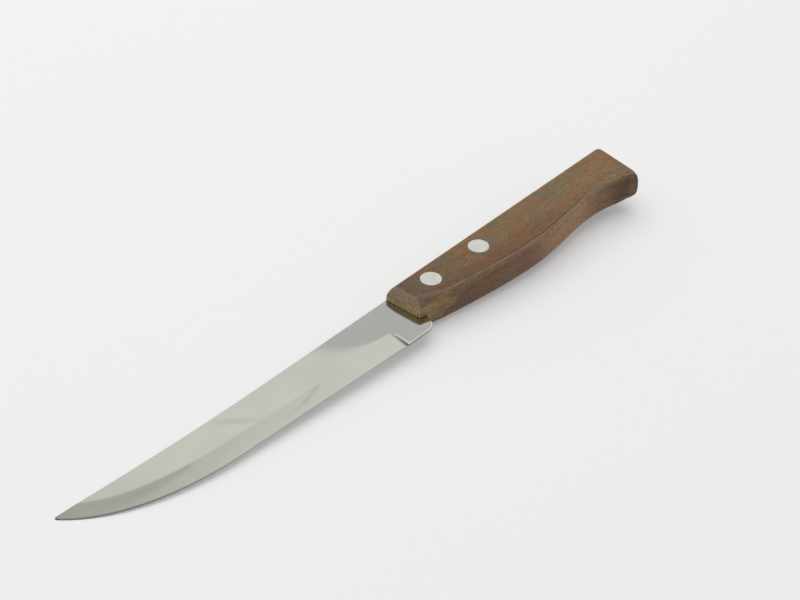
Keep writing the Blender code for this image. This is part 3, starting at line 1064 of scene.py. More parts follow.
@dataclass
class Blade:
    """Ground blade with its heel tab and tang, in one sheet.

    Attributes:
        datum: Where the drawing sits.
        length: From the handle's front to the point.
        stock: Thickness of the sheet.
        spine_height: Height of the spine at the handle.
        spine_rise: How much higher the spine is at the point.
        tab_depth: Depth of the heel tab below the rivet line.
        tang_length: From the handle's front to the tang's end.
    """

    datum: Datum
    length: float
    stock: float
    spine_height: float
    spine_rise: float
    tab_depth: float
    tang_length: float
    spine_rise_setback: float = 50.0
    tip_swell: float = 0.35
    tip_radius: float = 0.75
    tip_first_turn: float = 8.0
    spine_chamfer: float = 0.08
    edge_thickness: float = 0.05
    edge_bevel_width: float = 0.34
    point_bevel_width: float = 0.85
    point_bevel_ends: Pair = (70.0, 110.0)
    heel_setback: float = 11.65
    heel_slant: float = 8.6
    heel_slant_reach: float = 6.0
    heel_step: float = 0.02
    heel_hollow_run: float = 0.85
    heel_hollow_power: float = 2.4
    heel_hollow_taper: float = 0.3
    heel_head_chamfer: float = 0.06
    # Width of the strip behind the step's head that is painted bright as a highlight.
    heel_highlight_width: float = 1.0
    heel_shortest_step: float = 0.1
    heel_tolerance: float = 0.01
    curve_setback: float = 71.0
    curve_depth: float = 9.32
    curve_point_angle: float = 48.8
    curve_point_pull: float = 25.2
    curve_heel_pull: float = 2.0
    steepest_edge: float = 1.2
    facet_width: float = 6.1
    facet_slope: float = 0.056
    facet_swell: float = 0.6
    facet_swells: Pair = (58.0, 78.0)
    facet_narrows: Pair = (84.0, 116.0)
    facet_narrowing: float = 1.2
    ridge_softness: float = 0.30
    ridge_fades: Pair = (26.0, 46.0)
    faded_ridge: float = 0.8
    heel_grind_depth: float = 4.37
    runout_setback: float = 30.0
    runout_spine_angle: float = 59.0
    runout_spine_pull: float = 8.8
    runout_heel_angle: float = 11.0
    runout_heel_pull: float = 10.0
    runout_softness_at_heel: float = 0.4
    runout_softness_at_spine: float = 11.0
    runout_softness_power: float = 1.6
    # Painted shade along the honed bevel and painted reflection on the narrow facet, darkest by the point.
    bevel_shade_at_heel: float = 0.70
    bevel_shade_ends: Pair = (60.0, 100.0)
    facet_shade: float = 0.11
    facet_shade_low: float = 0.35
    facet_shade_ends: Pair = (88.0, 104.0)
    facet_margin: float = 1.01
    bevel_margin: float = 0.9
    point_shade: float = 0.29
    point_shade_ends: Pair = (88.0, 114.0)
    point_shade_lows: Pair = (0.80, 0.25)
    point_shade_softness: float = 0.3
    point_shade_run_in: Pair = (4.0, 1.0)
    point_shade_run_out: float = 6.0
    point_shade_at_end: float = 0.4
    # Darker streaks on the ground faces; the one on the narrow facet and its tail are painted reflections.
    streak_on_wide_face: tuple[Pair, Pair] = ((-73.1, 6.6), (-61.8, -3.6))
    wide_streak_width: float = 2.0
    reflected_streak_on_facet: tuple[Pair, Pair] = ((-39.2, -4.1), (-51.0, -7.4))
    facet_streak_width: float = 1.0
    reflected_streak_tail: tuple[Pair, Pair] = ((-45.5, -6.2), (-58.5, -7.8))
    reflected_streak_tail_strength: float = 0.4
    tab_insertion: float = 2.6
    tab_corner_radius: float = 5.1
    tab_chamfer: float = 0.26
    tab_chamfer_drop: float = 0.11
    shoulder_run: float = 0.6
    tang_depth: float = 5.0
    tang_corner_radius: float = 6.0
    sharp_angle: float = 25.0
    flat_rows: int = 10
    wide_rows: int = 14
    narrow_rows: int = 14
    tip_steps: int = 6
    curve_steps: int = 64
    straight_steps: int = 22
    runout_steps: int = 40
    corner_steps: int = 14
    hollow_steps: int = 5
    highlight_columns: int = 3

    @classmethod
    def from_frame(cls, datum: Datum) -> Blade:
        """Take the blade's main sizes from its node.

        Args:
            datum: Where the drawing sits.

        Returns:
            The blade.
        """
        low, high = (datum.drawn(corner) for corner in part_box("blade"))
        spine = datum.drawn(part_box("handle")[1]).y
        return cls(datum=datum, length=-low.x, stock=high.z - low.z, spine_height=spine,
                   spine_rise=high.y - spine, tab_depth=-low.y, tang_length=high.x)

    @property
    def heel_depth(self) -> float:
        """Depth of the cutting edge at the heel."""
        return self.tab_depth - self.heel_step

    def bevel_at(self, x: float) -> float:
        """Return the width of the honed bevel, which is widest by the point."""
        return float(np.interp(-x, self.point_bevel_ends, (self.edge_bevel_width, self.point_bevel_width)))

    def facet_at(self, x: float) -> float:
        """Return the width of the narrow facet, which swells at the bend and narrows to the point."""
        narrowing = self.facet_narrowing * smooth_step(*self.facet_narrows, -x)
        return self.facet_width + self.facet_swell * (smooth_step(*self.facet_swells, -x) - narrowing)

    def back_line(self, x: float) -> float:
        """Return the height of the spine's line, which rises gently towards the point."""
        reach = max(0.0, -x - self.spine_rise_setback) / (self.length - self.spine_rise_setback)
        return self.spine_height + (self.spine_rise + self.tip_swell) * reach ** 2

    def tip_centre(self) -> Vector:
        """Return the centre of the rounded point."""
        x = self.tip_radius - self.length
        return Vector((x, self.back_line(x) - self.tip_radius))

    def spine_at(self, x: float) -> float:
        """Return the height of the spine, which rounds off at the point.

        Args:
            x: Place along the blade.

        Returns:
            The height above the rivet line.
        """
        centre = self.tip_centre()
        if x >= centre.x:
            return self.back_line(x)
        run = min(self.tip_radius, centre.x - x)
        return centre.y + math.sqrt(self.tip_radius ** 2 - run ** 2)

    def runout(self) -> list[Vector]:
        """Return the line where the grinding meets the flat, from the spine down to the heel.

        Returns:
            Points along the line.
        """
        top = Vector((-self.runout_setback, self.spine_at(-self.runout_setback)))
        heel = Vector((-self.heel_setback, -self.heel_grind_depth))
        return bezier(top, -self.runout_spine_angle, self.runout_spine_pull,
                      heel, 180.0 - self.runout_heel_angle, self.runout_heel_pull, self.runout_steps)

    def straight_edge(self, x: float) -> Vector:
        """Return a point on the line of the straight part of the cutting edge.

        Args:
            x: Place along the blade.

        Returns:
            The point.
        """
        heel = Vector((-self.heel_setback, -self.heel_depth))
        bend = Vector((-self.curve_setback, -self.curve_depth))
        along = heel - bend
        return bend + along * (x - bend.x) / along.x

    def edge_curve(self) -> list[Vector]:
        """Return the cutting edge from the rounded point to where the run-out starts.

        Returns:
            Points along the edge.
        """
        bend = self.straight_edge(-self.curve_setback)
        along = self.straight_edge(-self.heel_setback) - bend
        last_turn = 90.0 - self.curve_point_angle
        turns = spread(self.tip_first_turn, last_turn, self.tip_steps) + [last_turn]
        arc = []
        for turn in (math.radians(angle) for angle in turns):
            arc.append(self.tip_centre() - self.tip_radius * Vector((math.cos(turn), math.sin(turn))))
        run_angle = math.degrees(math.atan2(along.y, along.x))
        curve = bezier(arc[-1], -self.curve_point_angle, self.curve_point_pull,
                       bend, run_angle + 180.0, self.curve_heel_pull, self.curve_steps)
        straight = spread(-self.curve_setback, -self.runout_setback, self.straight_steps)
        return arc[:-1] + curve[:-1] + [self.straight_edge(x) for x in straight]

    def stations(self) -> tuple[list[Vector], list[float]]:
        """Return the points of the cutting edge, point first, and the top of the grinding above each.

        Returns:
            The points and as many heights.
        """
        edge = self.edge_curve()
        tops = [self.spine_at(place.x) for place in edge]
        for mark in self.runout():
            edge.append(self.straight_edge(mark.x))
            tops.append(mark.y)
        return edge, tops

    def slopes(self, edge: Sequence[Vector]) -> list[float]:
        """Return the slope of the cutting edge at each of its points.

        Args:
            edge: Points of the cutting edge.

        Returns:
            One slope to a point.
        """
        before, after = [edge[0], *edge[:-1]], [*edge[1:], edge[-1]]
        slopes = [(end.y - start.y) / (end.x - start.x) for start, end in zip(before, after)]
        return [max(-self.steepest_edge, slope) for slope in slopes]

    def ridge_share(self, x: float) -> float:
        """Return how plain the ridge between the facets is, which fades towards the heel."""
        return smooth_step(*self.ridge_fades, -x)

    def half_thickness(self, x: float, rise: float, height: float) -> float:
        """Return half the thickness of a ground section.

        Args:
            x: Place along the blade.
            rise: Distance from the cutting edge.
            height: Distance of the top of the grinding from the edge.

        Returns:
            Half the thickness there.
        """
        half_stock, half_edge = self.stock / 2, self.edge_thickness / 2
        width = self.facet_at(x)
        half_facet = half_edge + self.facet_slope * width
        wide_run = max(height, self.spine_height + self.curve_depth) - width
        narrow = half_edge + self.facet_slope * rise
        wide = half_facet + (half_stock - half_facet) * (rise - width) / wide_run
        soft = self.facet_slope * self.ridge_softness
        faceted = (narrow + wide - math.hypot(narrow - wide, soft)) / 2
        single = half_edge + (half_stock - half_edge) * rise / height
        share = self.ridge_share(x)
        return min(half_stock, share * faceted + (1.0 - share) * single)

    def ground_half(self, place: Vector, slope: float, top: float) -> list[Point]:
        """Return the upper half of a ground section, from the spine to the edge.

        Args:
            place: Point of the cutting edge.
            slope: Slope of the edge there.
            top: Height where the grinding meets the flat.

        Returns:
            Points down the upper face.
        """
        spine = self.spine_at(place.x)
        tilt = math.hypot(1.0, slope)
        plain = self.ridge_share(place.x)
        ridge = place.y + plain * self.facet_at(place.x) * tilt
        ridge += (1.0 - plain) * self.faded_ridge * (top - place.y)
        soft = self.ridge_softness * tilt
        bevel = place.y + self.bevel_at(place.x) * tilt
        rows = spread(spine, top, self.flat_rows) + spread(top, ridge + soft, self.wide_rows)
        rows += [ridge + soft, ridge] + spread(ridge - soft, bevel, self.narrow_rows) + [bevel, place.y]
        chamfer = min(self.spine_chamfer, (spine - place.y) / 4)
        section = []
        for order, row in enumerate(rows):
            y = min(row, spine - chamfer, spine if order < self.flat_rows else top)
            half = self.stock / 2
            if top >= spine or y < top:
                half = self.half_thickness(place.x, (y - place.y) / tilt, (top - place.y) / tilt)
            section.append((place.x, y, half))
        return [(place.x, spine, max(section[0][2] - chamfer, section[0][2] / 2))] + section

    def step_head(self, ground: Sequence[Point]) -> list[Point]:
        """Return the upper half of the section at the head of the step where the grinding stops.

        Args:
            ground: The last ground section.

        Returns:
            Points down the upper face.
        """
        head = self.stock / 2 - self.heel_head_chamfer
        wall = []
        for x, y, half in ground[:-2]:
            height = max(half, head) - half
            run = self.heel_hollow_run * (height / head) ** self.heel_hollow_taper
            wall.append((x + run, y, max(half, head)))
        x = ground[-1][0] + self.heel_hollow_run
        side = min(head, self.stock / 2 - self.tab_chamfer_drop)
        return wall + [(x, self.tab_chamfer - self.tab_depth, head), (x, -self.tab_depth, side)]

    def hollow(self, ground: Sequence[Point]) -> list[list[Point]]:
        """Return the upper halves of the sections up the hollow step, from its foot to its head.

        Args:
            ground: The last ground section.

        Returns:
            The sections, which climb ever more steeply.
        """
        sections = []
        for step in range(1, self.hollow_steps + 1):
            run = step / self.hollow_steps
            climb = run ** self.heel_hollow_power
            section = []
            for foot, head in zip(ground, self.step_head(ground)):
                section.append((foot[0] + run * (head[0] - foot[0]), foot[1] + climb * (head[1] - foot[1]),
                                foot[2] + climb * (head[2] - foot[2])))
            sections.append(section)
        return sections

    def flat_half(self, outer: Vector, inner: Vector, rows: Sequence[float]) -> list[Point]:
        """Return the upper half of a section of the unground sheet, with the rows of a ground one.

        Args:
            outer: Point on the sheet's sheared side.
            inner: Point on its upper face, inside the rubbed corner.
            rows: Heights of the ground section's rows, from the spine down.

        Returns:
            Points down the upper face.
        """
        half = self.stock / 2
        section = [(inner.x, self.spine_height, half - self.spine_chamfer),
                   (inner.x, self.spine_height - self.spine_chamfer, half)]
        section += [(inner.x, max(row, inner.y), half) for row in rows[2:-2]]
        return section + [(inner.x, inner.y, half), (outer.x, outer.y, half - self.tab_chamfer_drop)]

    def rounded_end(self, end: float, depth: float, radius: float) -> list[tuple[Vector, Vector]]:
        """Return outer and inner marks round the lower corner of the tab or the tang.

        Args:
            end: Where the tab or tang ends.
            depth: Its depth below the rivet line.
            radius: Radius of the corner.

        Returns:
            Pairs of a mark on the sheared side and one inside the rubbed corner.
        """
        centre = Vector((end - radius, radius - depth))
        marks = []
        for turn in quarter_turns(self.corner_steps):
            spoke = Vector((math.sin(turn), -math.cos(turn)))
            marks.append((centre + radius * spoke, centre + (radius - self.tab_chamfer) * spoke))
        return marks

    def slant(self, x: float) -> float:
        """Return how much a section leans, which grows to the heel's slant just before the step."""
        ahead = smooth_step(self.heel_setback, self.heel_setback + self.heel_slant_reach, -x)
        return (1.0 - ahead) * math.tan(math.radians(self.heel_slant))

    def slanted(self, section: Sequence[Point], lean: float) -> list[Point]:
        """Lean a section, so that its top stands back."""
        return [(x + lean * (y + self.heel_depth), y, z) for x, y, z in section]

    def halves(self) -> tuple[list[list[Point]], int]:
        """Return the upper halves of all sections, point first, and the number of the last ground one.

        Returns:
            The sections and that number.
        """
        edge, tops = self.stations()
        halves = [self.ground_half(*station) for station in zip(edge, self.slopes(edge), tops)]
        rows = [y for _, y, _ in halves[-1]]
        last_ground = len(halves) - 1
        hollow = self.hollow(halves[-1])
        lean = self.slant(-self.heel_setback)
        halves = [self.slanted(section, self.slant(place.x)) for section, place in zip(halves, edge)]
        halves += [self.slanted(section, lean) for section in hollow]
        lift = Vector((0.0, self.tab_chamfer))
        heel = Vector((0.0, -self.tab_depth))
        # Sections of the strip behind the step's head, which carries the painted highlight.
        for column in range(self.highlight_columns):
            reach = self.heel_highlight_width * column / (self.highlight_columns - 1)
            behind = [(head[0] + self.heel_head_chamfer + reach, y, z)
                      for head, (_, y, z) in zip(hollow[-1], self.flat_half(heel, heel + lift, rows))]
            halves.append(self.slanted(behind, lean))
        tang = Vector((self.tab_insertion + self.shoulder_run, -self.tang_depth))
        marks = self.rounded_end(self.tab_insertion, self.tab_depth, self.tab_corner_radius)
        marks += [(tang, tang + lift)]
        marks += self.rounded_end(self.tang_length, self.tang_depth, self.tang_corner_radius)
        halves += [self.flat_half(outer, inner, rows) for outer, inner in marks]
        return halves, last_ground

    def painter(self, rows: int, last_ground: int) -> Callable[[int, int], int]:
        """Return the rule that gives each face of the skin its finish.

        Args:
            rows: Number of rows in half a section.
            last_ground: Number of the last ground section.

        Returns:
            A function of a face's band and its order round the section.
        """
        step_head = last_ground + self.hollow_steps
        tab_end = step_head + self.highlight_columns + 1 + self.corner_steps

        def finish(band: int, order: int) -> int:
            """Return the finish of one face.

            Args:
                band: Number of the section that the face starts at.
                order: The face's order round the section.

            Returns:
                The number of the finish.
            """
            row = min(order, 2 * rows - 2 - order)
            stepped = row > self.flat_rows + 1
            if band >= step_head and order == rows - 1:
                return SteelFinish.SHEARED.value
            # The step's head and the tab's chamfer take the bright steel, partly a painted highlight.
            if band == step_head and stepped:
                return SteelFinish.BURNISHED.value
            if step_head <= band < tab_end and row == rows - 2:
                return SteelFinish.BURNISHED.value
            return SteelFinish.POLISHED.value

        return finish

    def step_place(self, points: np.ndarray) -> tuple[np.ndarray, np.ndarray]:
        """Return how far each point lies behind the foot of the heel's step, and the step's length there.

        Args:
            points: Drawing points, one to a row.

        Returns:
            Both distances, one to a point.
        """
        lean = self.slant(-self.heel_setback)
        run = points[:, 0] + self.heel_setback - lean * (points[:, 1] + self.heel_depth)
        depth = -(points[:, 1] + self.heel_grind_depth) / (self.heel_depth - self.heel_grind_depth)
        height = depth * (self.stock - self.edge_thickness) / 2 - self.heel_head_chamfer
        share = height / (self.stock / 2 - self.heel_head_chamfer)
        return run, self.heel_hollow_run * np.clip(share, 0.0, 1.0) ** self.heel_hollow_taper

    def ground_and_highlight_share(self, points: np.ndarray) -> np.ndarray:
        """Return how ground each point looks: 1 on the ground faces and 0 on the flat, with soft borders.

        The flat is also painted bright behind the head of the heel's step, as a painted highlight.

        Args:
            points: Drawing points, one to a row.

        Returns:
            One share to a point.
        """
        marks = []
        for mark in self.runout():
            marks.append((mark.x + self.slant(mark.x) * (mark.y + self.heel_depth), mark.y))
        line = np.array(marks)
        apart = np.linalg.norm(points[:, None, :2] - line[None], axis=2).min(axis=1)
        run, length = self.step_place(points)
        border = np.interp(points[:, 1], line[::-1, 1], line[::-1, 0])
        ahead = np.where(points[:, 1] < line[-1, 1], run <= 0.0, points[:, 0] < border)
        signed = np.where(ahead, apart, -apart)
        share = np.interp(-points[:, 0], (self.heel_setback, self.runout_setback), (0.0, 1.0))
        widening = self.runout_softness_at_spine - self.runout_softness_at_heel
        soft = self.runout_softness_at_heel + widening * share ** self.runout_softness_power
        # Painted highlight on the strip behind the step's head.
        rubbed_highlight = 2.0 - 2.0 * (run - length - self.heel_head_chamfer) / self.heel_highlight_width
        rubbed_highlight = np.where((run > length) & (length > self.heel_shortest_step), rubbed_highlight, 0.0)
        return np.clip(np.maximum(signed / soft + 0.5, rubbed_highlight), 0.0, 1.0)

    def step_shade_share(self, points: np.ndarray) -> np.ndarray:
        """Return how much painted shade darkens the hollow step: most at its head and towards the edge, and
        0 off the step.

        Args:
            points: Drawing points, one to a row.

        Returns:
            One share to a point.
        """
        run, _ = self.step_place(points)
        sunk = np.abs(points[:, 2]) < (self.stock - self.heel_head_chamfer) / 2
        on_step = sunk & (run > 0.0) & (run < self.heel_hollow_run + self.heel_tolerance)
        return np.where(on_step, np.clip(run / self.heel_hollow_run, 0.0, 1.0), 0.0)

    def point_shading(self, setback: np.ndarray, across: np.ndarray) -> np.ndarray:
        """Return the shade under the ridge by the point, where the narrow facet is a little hollow.

        Args:
            setback: Distance of each point from the handle's front.
            across: Share of the facet's width that each point lies above the edge.

        Returns:
            One share to a point, in a wedge that thins out along the ridge.
        """
        start, end = self.point_shade_ends
        low = np.interp(setback, self.point_shade_ends, self.point_shade_lows)
        wedge = np.clip((across - low) / self.point_shade_softness + 0.5, 0.0, 1.0)
        before, after = self.point_shade_run_in
        places = (start - before, start + after, end, end + self.point_shade_run_out)
        along = np.interp(setback, places, (0.0, 1.0, self.point_shade_at_end, 0.0))
        return self.point_shade * wedge * along

    def edge_rise(self, points: np.ndarray) -> np.ndarray:
        """Return how far each point lies from the cutting edge, square to it.

        Args:
            points: Drawing points, one to a row.

        Returns:
            One distance to a point.
        """
        edge, _ = self.stations()
        places = np.array([place[:] for place in edge])
        low = np.interp(points[:, 0], places[:, 0], places[:, 1])
        tilt = np.interp(points[:, 0], places[:, 0], np.hypot(1.0, self.slopes(edge)))
        return (points[:, 1] - low) / tilt

    def honing_and_shade_share(self, points: np.ndarray) -> np.ndarray:
        """Return how much honing and painted shade each point has: most on the bevel along the edge, a
        little on the narrow facet.

        Args:
            points: Drawing points, one to a row.

        Returns:
            One share to a point.
        """
        rise = self.edge_rise(points)
        setback = -points[:, 0]
        ground = setback > self.heel_setback
        bevel = np.interp(setback, self.bevel_shade_ends, (self.bevel_shade_at_heel, 1.0))
        ridge = np.array([self.ridge_share(x) for x in points[:, 0]])
        widths = np.array([self.facet_at(x) for x in points[:, 0]])
        bevel_widths = np.array([self.bevel_at(x) for x in points[:, 0]])
        across = np.clip(rise / widths, 0.0, 1.0)
        rising = self.facet_shade_low + (1.0 - self.facet_shade_low) * across
        # Painted reflection: the narrow facet darker towards the ridge.
        facet = self.facet_shade * ridge * rising
        facet *= np.interp(setback, self.facet_shade_ends, (1.0, 0.0))
        facet = np.maximum(facet, self.point_shading(setback, across))
        # Painted shade in the heel's hollow step.
        share = np.where(ground & (rise < self.facet_margin * widths), facet, self.step_shade_share(points))
        return np.where(ground & (rise < self.bevel_margin * bevel_widths), bevel, share)

    def build(self, bores: Sequence[Item]) -> Item:
        """Build and dress the blade and drill it for the rivets.

        Args:
            bores: Closed cutters for the rivet holes, which are used up.

        Returns:
            The finished piece.
        """
        halves, last_ground = self.halves()
        rings = [half + [(x, y, -z) for x, y, z in reversed(half)] for half in halves]
        item = object_from_bmesh("steel_blade", loft(rings, self.painter(len(halves[0]), last_ground)))
        self.dress(item)
        cut(item, bores)
        points = mesh_points(item)
        # The ground share also carries the painted highlight behind the heel's step; the next share carries
        # the painted shade along the edge, the narrow facet and the step.
        mark_points(item, "ground", self.ground_and_highlight_share(points))
        mark_points(item, "honed", self.honing_and_shade_share(points))
        shade(item, self.sharp_angle)
        self.datum.place(item)
        return item

    def smears(self) -> tuple[tuple[Point, Point, float, float], ...]:
        """Return the darker streaks; the two on the narrow facet are painted reflections.

        Returns:
            The ends and half width of each, in frame metres, and its strength.
        """
        place = self.datum.matrix()
        drawn = ((self.streak_on_wide_face, self.wide_streak_width, 1.0),
                 (self.reflected_streak_on_facet, self.facet_streak_width, 1.0),
                 (self.reflected_streak_tail, self.facet_streak_width, self.reflected_streak_tail_strength))
        smears = []
        for ends, width, strength in drawn:
            start, end = (tuple(place @ Vector((*mark, 0.0))) for mark in ends)
            smears.append((start, end, width * MM, strength))
        return tuple(smears)

    def dress(self, item: Item) -> None:
        """Give the blade its steels, in the order of their numbers."""
        for finish in (PolishedSteel(smears=self.smears()), ShearedSteel(), BurnishedHighlightSteel()):
            item.data.materials.append(finish.material())


@dataclass
class Handle:
    """One-piece handle with flat faces, crowned sides, a chamfered nose and a slot for the tang.

    Attributes:
        datum: Where the drawing sits.
        length: From the front to the butt's spine corner, before that corner is rounded.
        thickness: Across the flat faces.
        spine_height: Height of the spine side above the rivet line.
    """

    datum: Datum
    length: float
    thickness: float
    spine_height: float
    front_depth: float = 6.1
    front_angle: float = -9.1
    front_pull: float = 14.8
    front_corner_radius: float = 0.30
    belly_position: float = 48.0
    belly_depth: float = 11.55
    belly_front_pull: float = 14.9
    belly_rear_pull: float = 10.3
    waist_position: float = 77.2
    waist_depth: float = 8.85
    waist_front_pull: float = 9.1
    waist_rear_pull: float = 7.9
    butt_depth: float = 13.0
    butt_angle: float = -23.7
    butt_pull: float = 6.9
    butt_slant: float = 9.8
    butt_straight: float = 3.5
    butt_belly_radius: float = 1.7
    butt_spine_radius: float = 2.4
    smallest_radius: float = 1.2
    side_crown: float = 1.65
    upper_crown: float = 1.40
    waist_crown: float = 0.95
    waist_crown_from: Pair = (50.0, 66.0)
    waist_crown_to: Pair = (70.0, 82.0)
    butt_upper_crown: float = 1.25
    butt_lower_crown: float = 2.4
    butt_reach: float = 11.0
    crown_power: float = 4.0
    butt_crown_power: float = 2.4
    crease_radius: float = 0.14
    # Wear of the creases, which is partly a painted highlight.
    wear_highlight_core: float = 0.1
    wear_highlight_reach: float = 1.7
    wear_highlight_levels: tuple[float, float, float] = (0.8, 0.5, 0.0)
    nose_wear_highlight: float = 0.5
    nose_run_at_spine: float = 2.15
    nose_run_at_belly: float = 2.0
    nose_drop_at_spine: float = 2.9
    nose_drop_at_belly: float = 2.5
    nose_crease_radius: float = 2.8
    nose_crease_reach: float = 11.0
    nose_softness: float = 0.15
    nose_reach: float = 10.0
    # Thin dark line of painted shade beside the upper crease.
    crease_shade_ends: Pair = (15.0, 84.0)
    crease_shade_width: float = 0.28
    tolerance: float = 0.002
    slot_clearance: float = 0.13
    cut_overshoot: float = 4.0
    sharp_angle: float = 32.0
    curve_steps: int = 26
    corner_steps: int = 9
    front_steps: int = 4
    crown_steps: int = 20
    crease_steps: int = 5

    @classmethod
    def from_frame(cls, datum: Datum) -> Handle:
        """Take the handle's main sizes from its node.

        Args:
            datum: Where the drawing sits.

        Returns:
            The handle.
        """
        low, high = (datum.drawn(corner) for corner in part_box("handle"))
        lean = math.radians(90.0 - cls.butt_slant) / 2
        rounding = cls.butt_spine_radius * (1.0 / math.tan(lean) - 1.0)
        return cls(datum=datum, length=high.x + rounding, thickness=high.z - low.z, spine_height=high.y)

    @property
    def half(self) -> float:
        """Half the thickness."""
        return self.thickness / 2

    def outline(self) -> list[Vector]:
        """Return the outline at half the thickness, sharp and anticlockwise from the front's belly corner.

        Returns:
            Points along the outline.
        """
        belly = Vector((self.belly_position, -self.belly_depth))
        waist = Vector((self.waist_position, -self.waist_depth))
        lean = math.tan(math.radians(self.butt_slant)) * (self.spine_height + self.butt_depth)
        butt_belly = Vector((self.length - lean, -self.butt_depth))
        steps = self.curve_steps
        run = bezier(Vector((0.0, -self.front_depth)), self.front_angle, self.front_pull,
                     belly, 180.0, self.belly_front_pull, steps)[:-1]
        run += bezier(belly, 0.0, self.belly_rear_pull, waist, 180.0, self.waist_front_pull, steps)[:-1]
        run += bezier(waist, 0.0, self.waist_rear_pull,
                      butt_belly, 180.0 + self.butt_angle, self.butt_pull, steps)
        run = [mark for mark in run if mark.x < butt_belly.x - self.butt_straight]
        return run + [butt_belly] + [Vector((x, self.spine_height)) for x in (self.length, 0.0)]

    def crown(self, mark: Vector, height: float) -> float:
        """Return how far the side stands in at a point of the outline and a height from the middle.

        Args:
            mark: Point of the outline.
            height: Height from the middle.

        Returns:
            The distance inwards.
        """
        along = smooth_step(self.length - self.butt_reach, self.length - self.butt_reach / 2, mark.x)
        across = smooth_step(-self.spine_height, self.spine_height / 2, mark.y)
        share = along * (1.0 - across)
        butt_crown = self.butt_upper_crown if height > 0 else self.butt_lower_crown
        side = self.upper_belly_crown(mark.x) if height > 0 and mark.y < 0 else self.side_crown
        deepest = side + (butt_crown - side) * share
        power = self.crown_power + (self.butt_crown_power - self.crown_power) * share
        return deepest * (abs(height) / self.half) ** power

    def upper_belly_crown(self, x: float) -> float:
        """Return how far the upper crease stands in along the belly, least before the waist.

        Args:
            x: Place along the handle.

        Returns:
            The distance inwards.
        """
        narrowed = smooth_step(*self.waist_crown_from, x)
        inner = self.upper_crown + (self.waist_crown - self.upper_crown) * narrowed
        return inner + (self.side_crown - inner) * smooth_step(*self.waist_crown_to, x)

    def levels(self) -> list[Pair]:
        """Return heights from the middle to the flat, and how far the section stands in at each.

        Returns:
            Pairs of a height and a distance.
        """
        start = self.half - self.crease_radius
        levels = [(height, 0.0) for height in spread(0.0, start, self.crown_steps)]
        for turn in quarter_turns(self.crease_steps):
            inward = self.crease_radius * (1.0 - math.cos(turn))
            levels.append((start + self.crease_radius * math.sin(turn), inward))
        return levels + [(self.half, self.crease_radius + rows * self.crease_shade_width) for rows in (1, 2, 3)]

    def nose_shift(self, mark: Vector, height: float) -> float:
        """Return how far the nose's chamfer pushes a point back.

        Args:
            mark: Point of the outline.
            height: Height from the middle.

        Returns:
            The distance along the handle.
        """
        across = (mark.y + self.front_depth) / (self.spine_height + self.front_depth)
        run = self.nose_run_at_belly + (self.nose_run_at_spine - self.nose_run_at_belly) * across
        drop = self.nose_drop_at_belly + (self.nose_drop_at_spine - self.nose_drop_at_belly) * across
        above = abs(height) - self.half + drop
        share = (above + math.hypot(above, self.nose_softness)) / (2 * drop)
        return run * share * max(0.0, 1.0 - mark.x / self.nose_reach)

    def nose_rounding(self, mark: Vector, height: float) -> float:
        """Return how far the belly side stands in where its crease is rounded over behind the nose.

        Args:
            mark: Point of the outline.
            height: Height from the middle.

        Returns:
            The distance inwards.
        """
        radius = self.nose_crease_radius * (1.0 - mark.x / self.nose_crease_reach)
        over = abs(height) - self.half + radius
        if mark.y > 0.0 or radius <= 0.0 or over <= 0.0:
            return 0.0
        return radius - math.sqrt(max(0.0, radius ** 2 - over ** 2))

    def section(self, outline: Sequence[Vector], height: float, rounding: float) -> list[Point]:
        """Return the handle's level section.

        Args:
            outline: Outline at half the thickness.
            height: Height of the section from the middle.
            rounding: How far the whole section stands in.

        Returns:
            The section's points, anticlockwise.
        """
        depths = []
        for start, end in zip(outline, [*outline[1:], outline[0]]):
            middle = (start + end) / 2
            depths.append(self.crown(middle, height) + self.nose_rounding(middle, height) + rounding)
        depths[-1] = rounding
        ring = inset_outline(outline, depths)
        belly_radius = max(self.smallest_radius, self.butt_belly_radius - depths[-4])
        spine_radius = max(self.smallest_radius, self.butt_spine_radius - depths[-2])
        front_radius = self.front_corner_radius
        marks = corner_arc(ring[-1], ring[0], ring[1], front_radius, self.front_steps) + ring[1:-3]
        marks += corner_arc(ring[-4], ring[-3], ring[-2], belly_radius, self.corner_steps)
        marks += corner_arc(ring[-3], ring[-2], ring[-1], spine_radius, self.corner_steps)
        marks += corner_arc(ring[-2], ring[-1], ring[0], front_radius, self.front_steps)
        return [(mark.x + self.nose_shift(mark, height), mark.y, height) for mark in marks]

    def body(self) -> Item:
        """Return the handle's solid body, with its rubbed creases, partly a painted highlight, and the
        painted shade beside the upper crease marked on it.

        Returns:
            The body, still without slot and bores.
        """
        outline = self.outline()
        upper = self.levels()
        levels = [(-height, rounding) for height, rounding in reversed(upper[1:])] + upper
        rings = [self.section(outline, height, rounding) for height, rounding in levels]
        item = object_from_bmesh("wooden_handle", loft(rings))
        points = mesh_points(item)
        mark_points(item, "edge_wear", self.edge_wear(points))
        mark_points(item, "scratch", self.scratch(points, rings[-3]))
        return item

    def edge_wear(self, points: np.ndarray) -> np.ndarray:
        """Return the wear and painted highlight of each point: most on the creases, less below them and
        behind the nose.

        Args:
            points: Drawing points, one to a row.

        Returns:
            One value to a point.
        """
        below = self.half - self.crease_radius - np.abs(points[:, 2])
        rubbed_highlight = np.interp(below, (0.0, self.wear_highlight_core, self.wear_highlight_reach), self.wear_highlight_levels)
        rubbed_highlight *= np.abs(points[:, 2]) < self.half - self.tolerance
        reach = self.nose_crease_reach
        return rubbed_highlight * np.interp(points[:, 0], (reach / 2, reach), (self.nose_wear_highlight, 1.0))

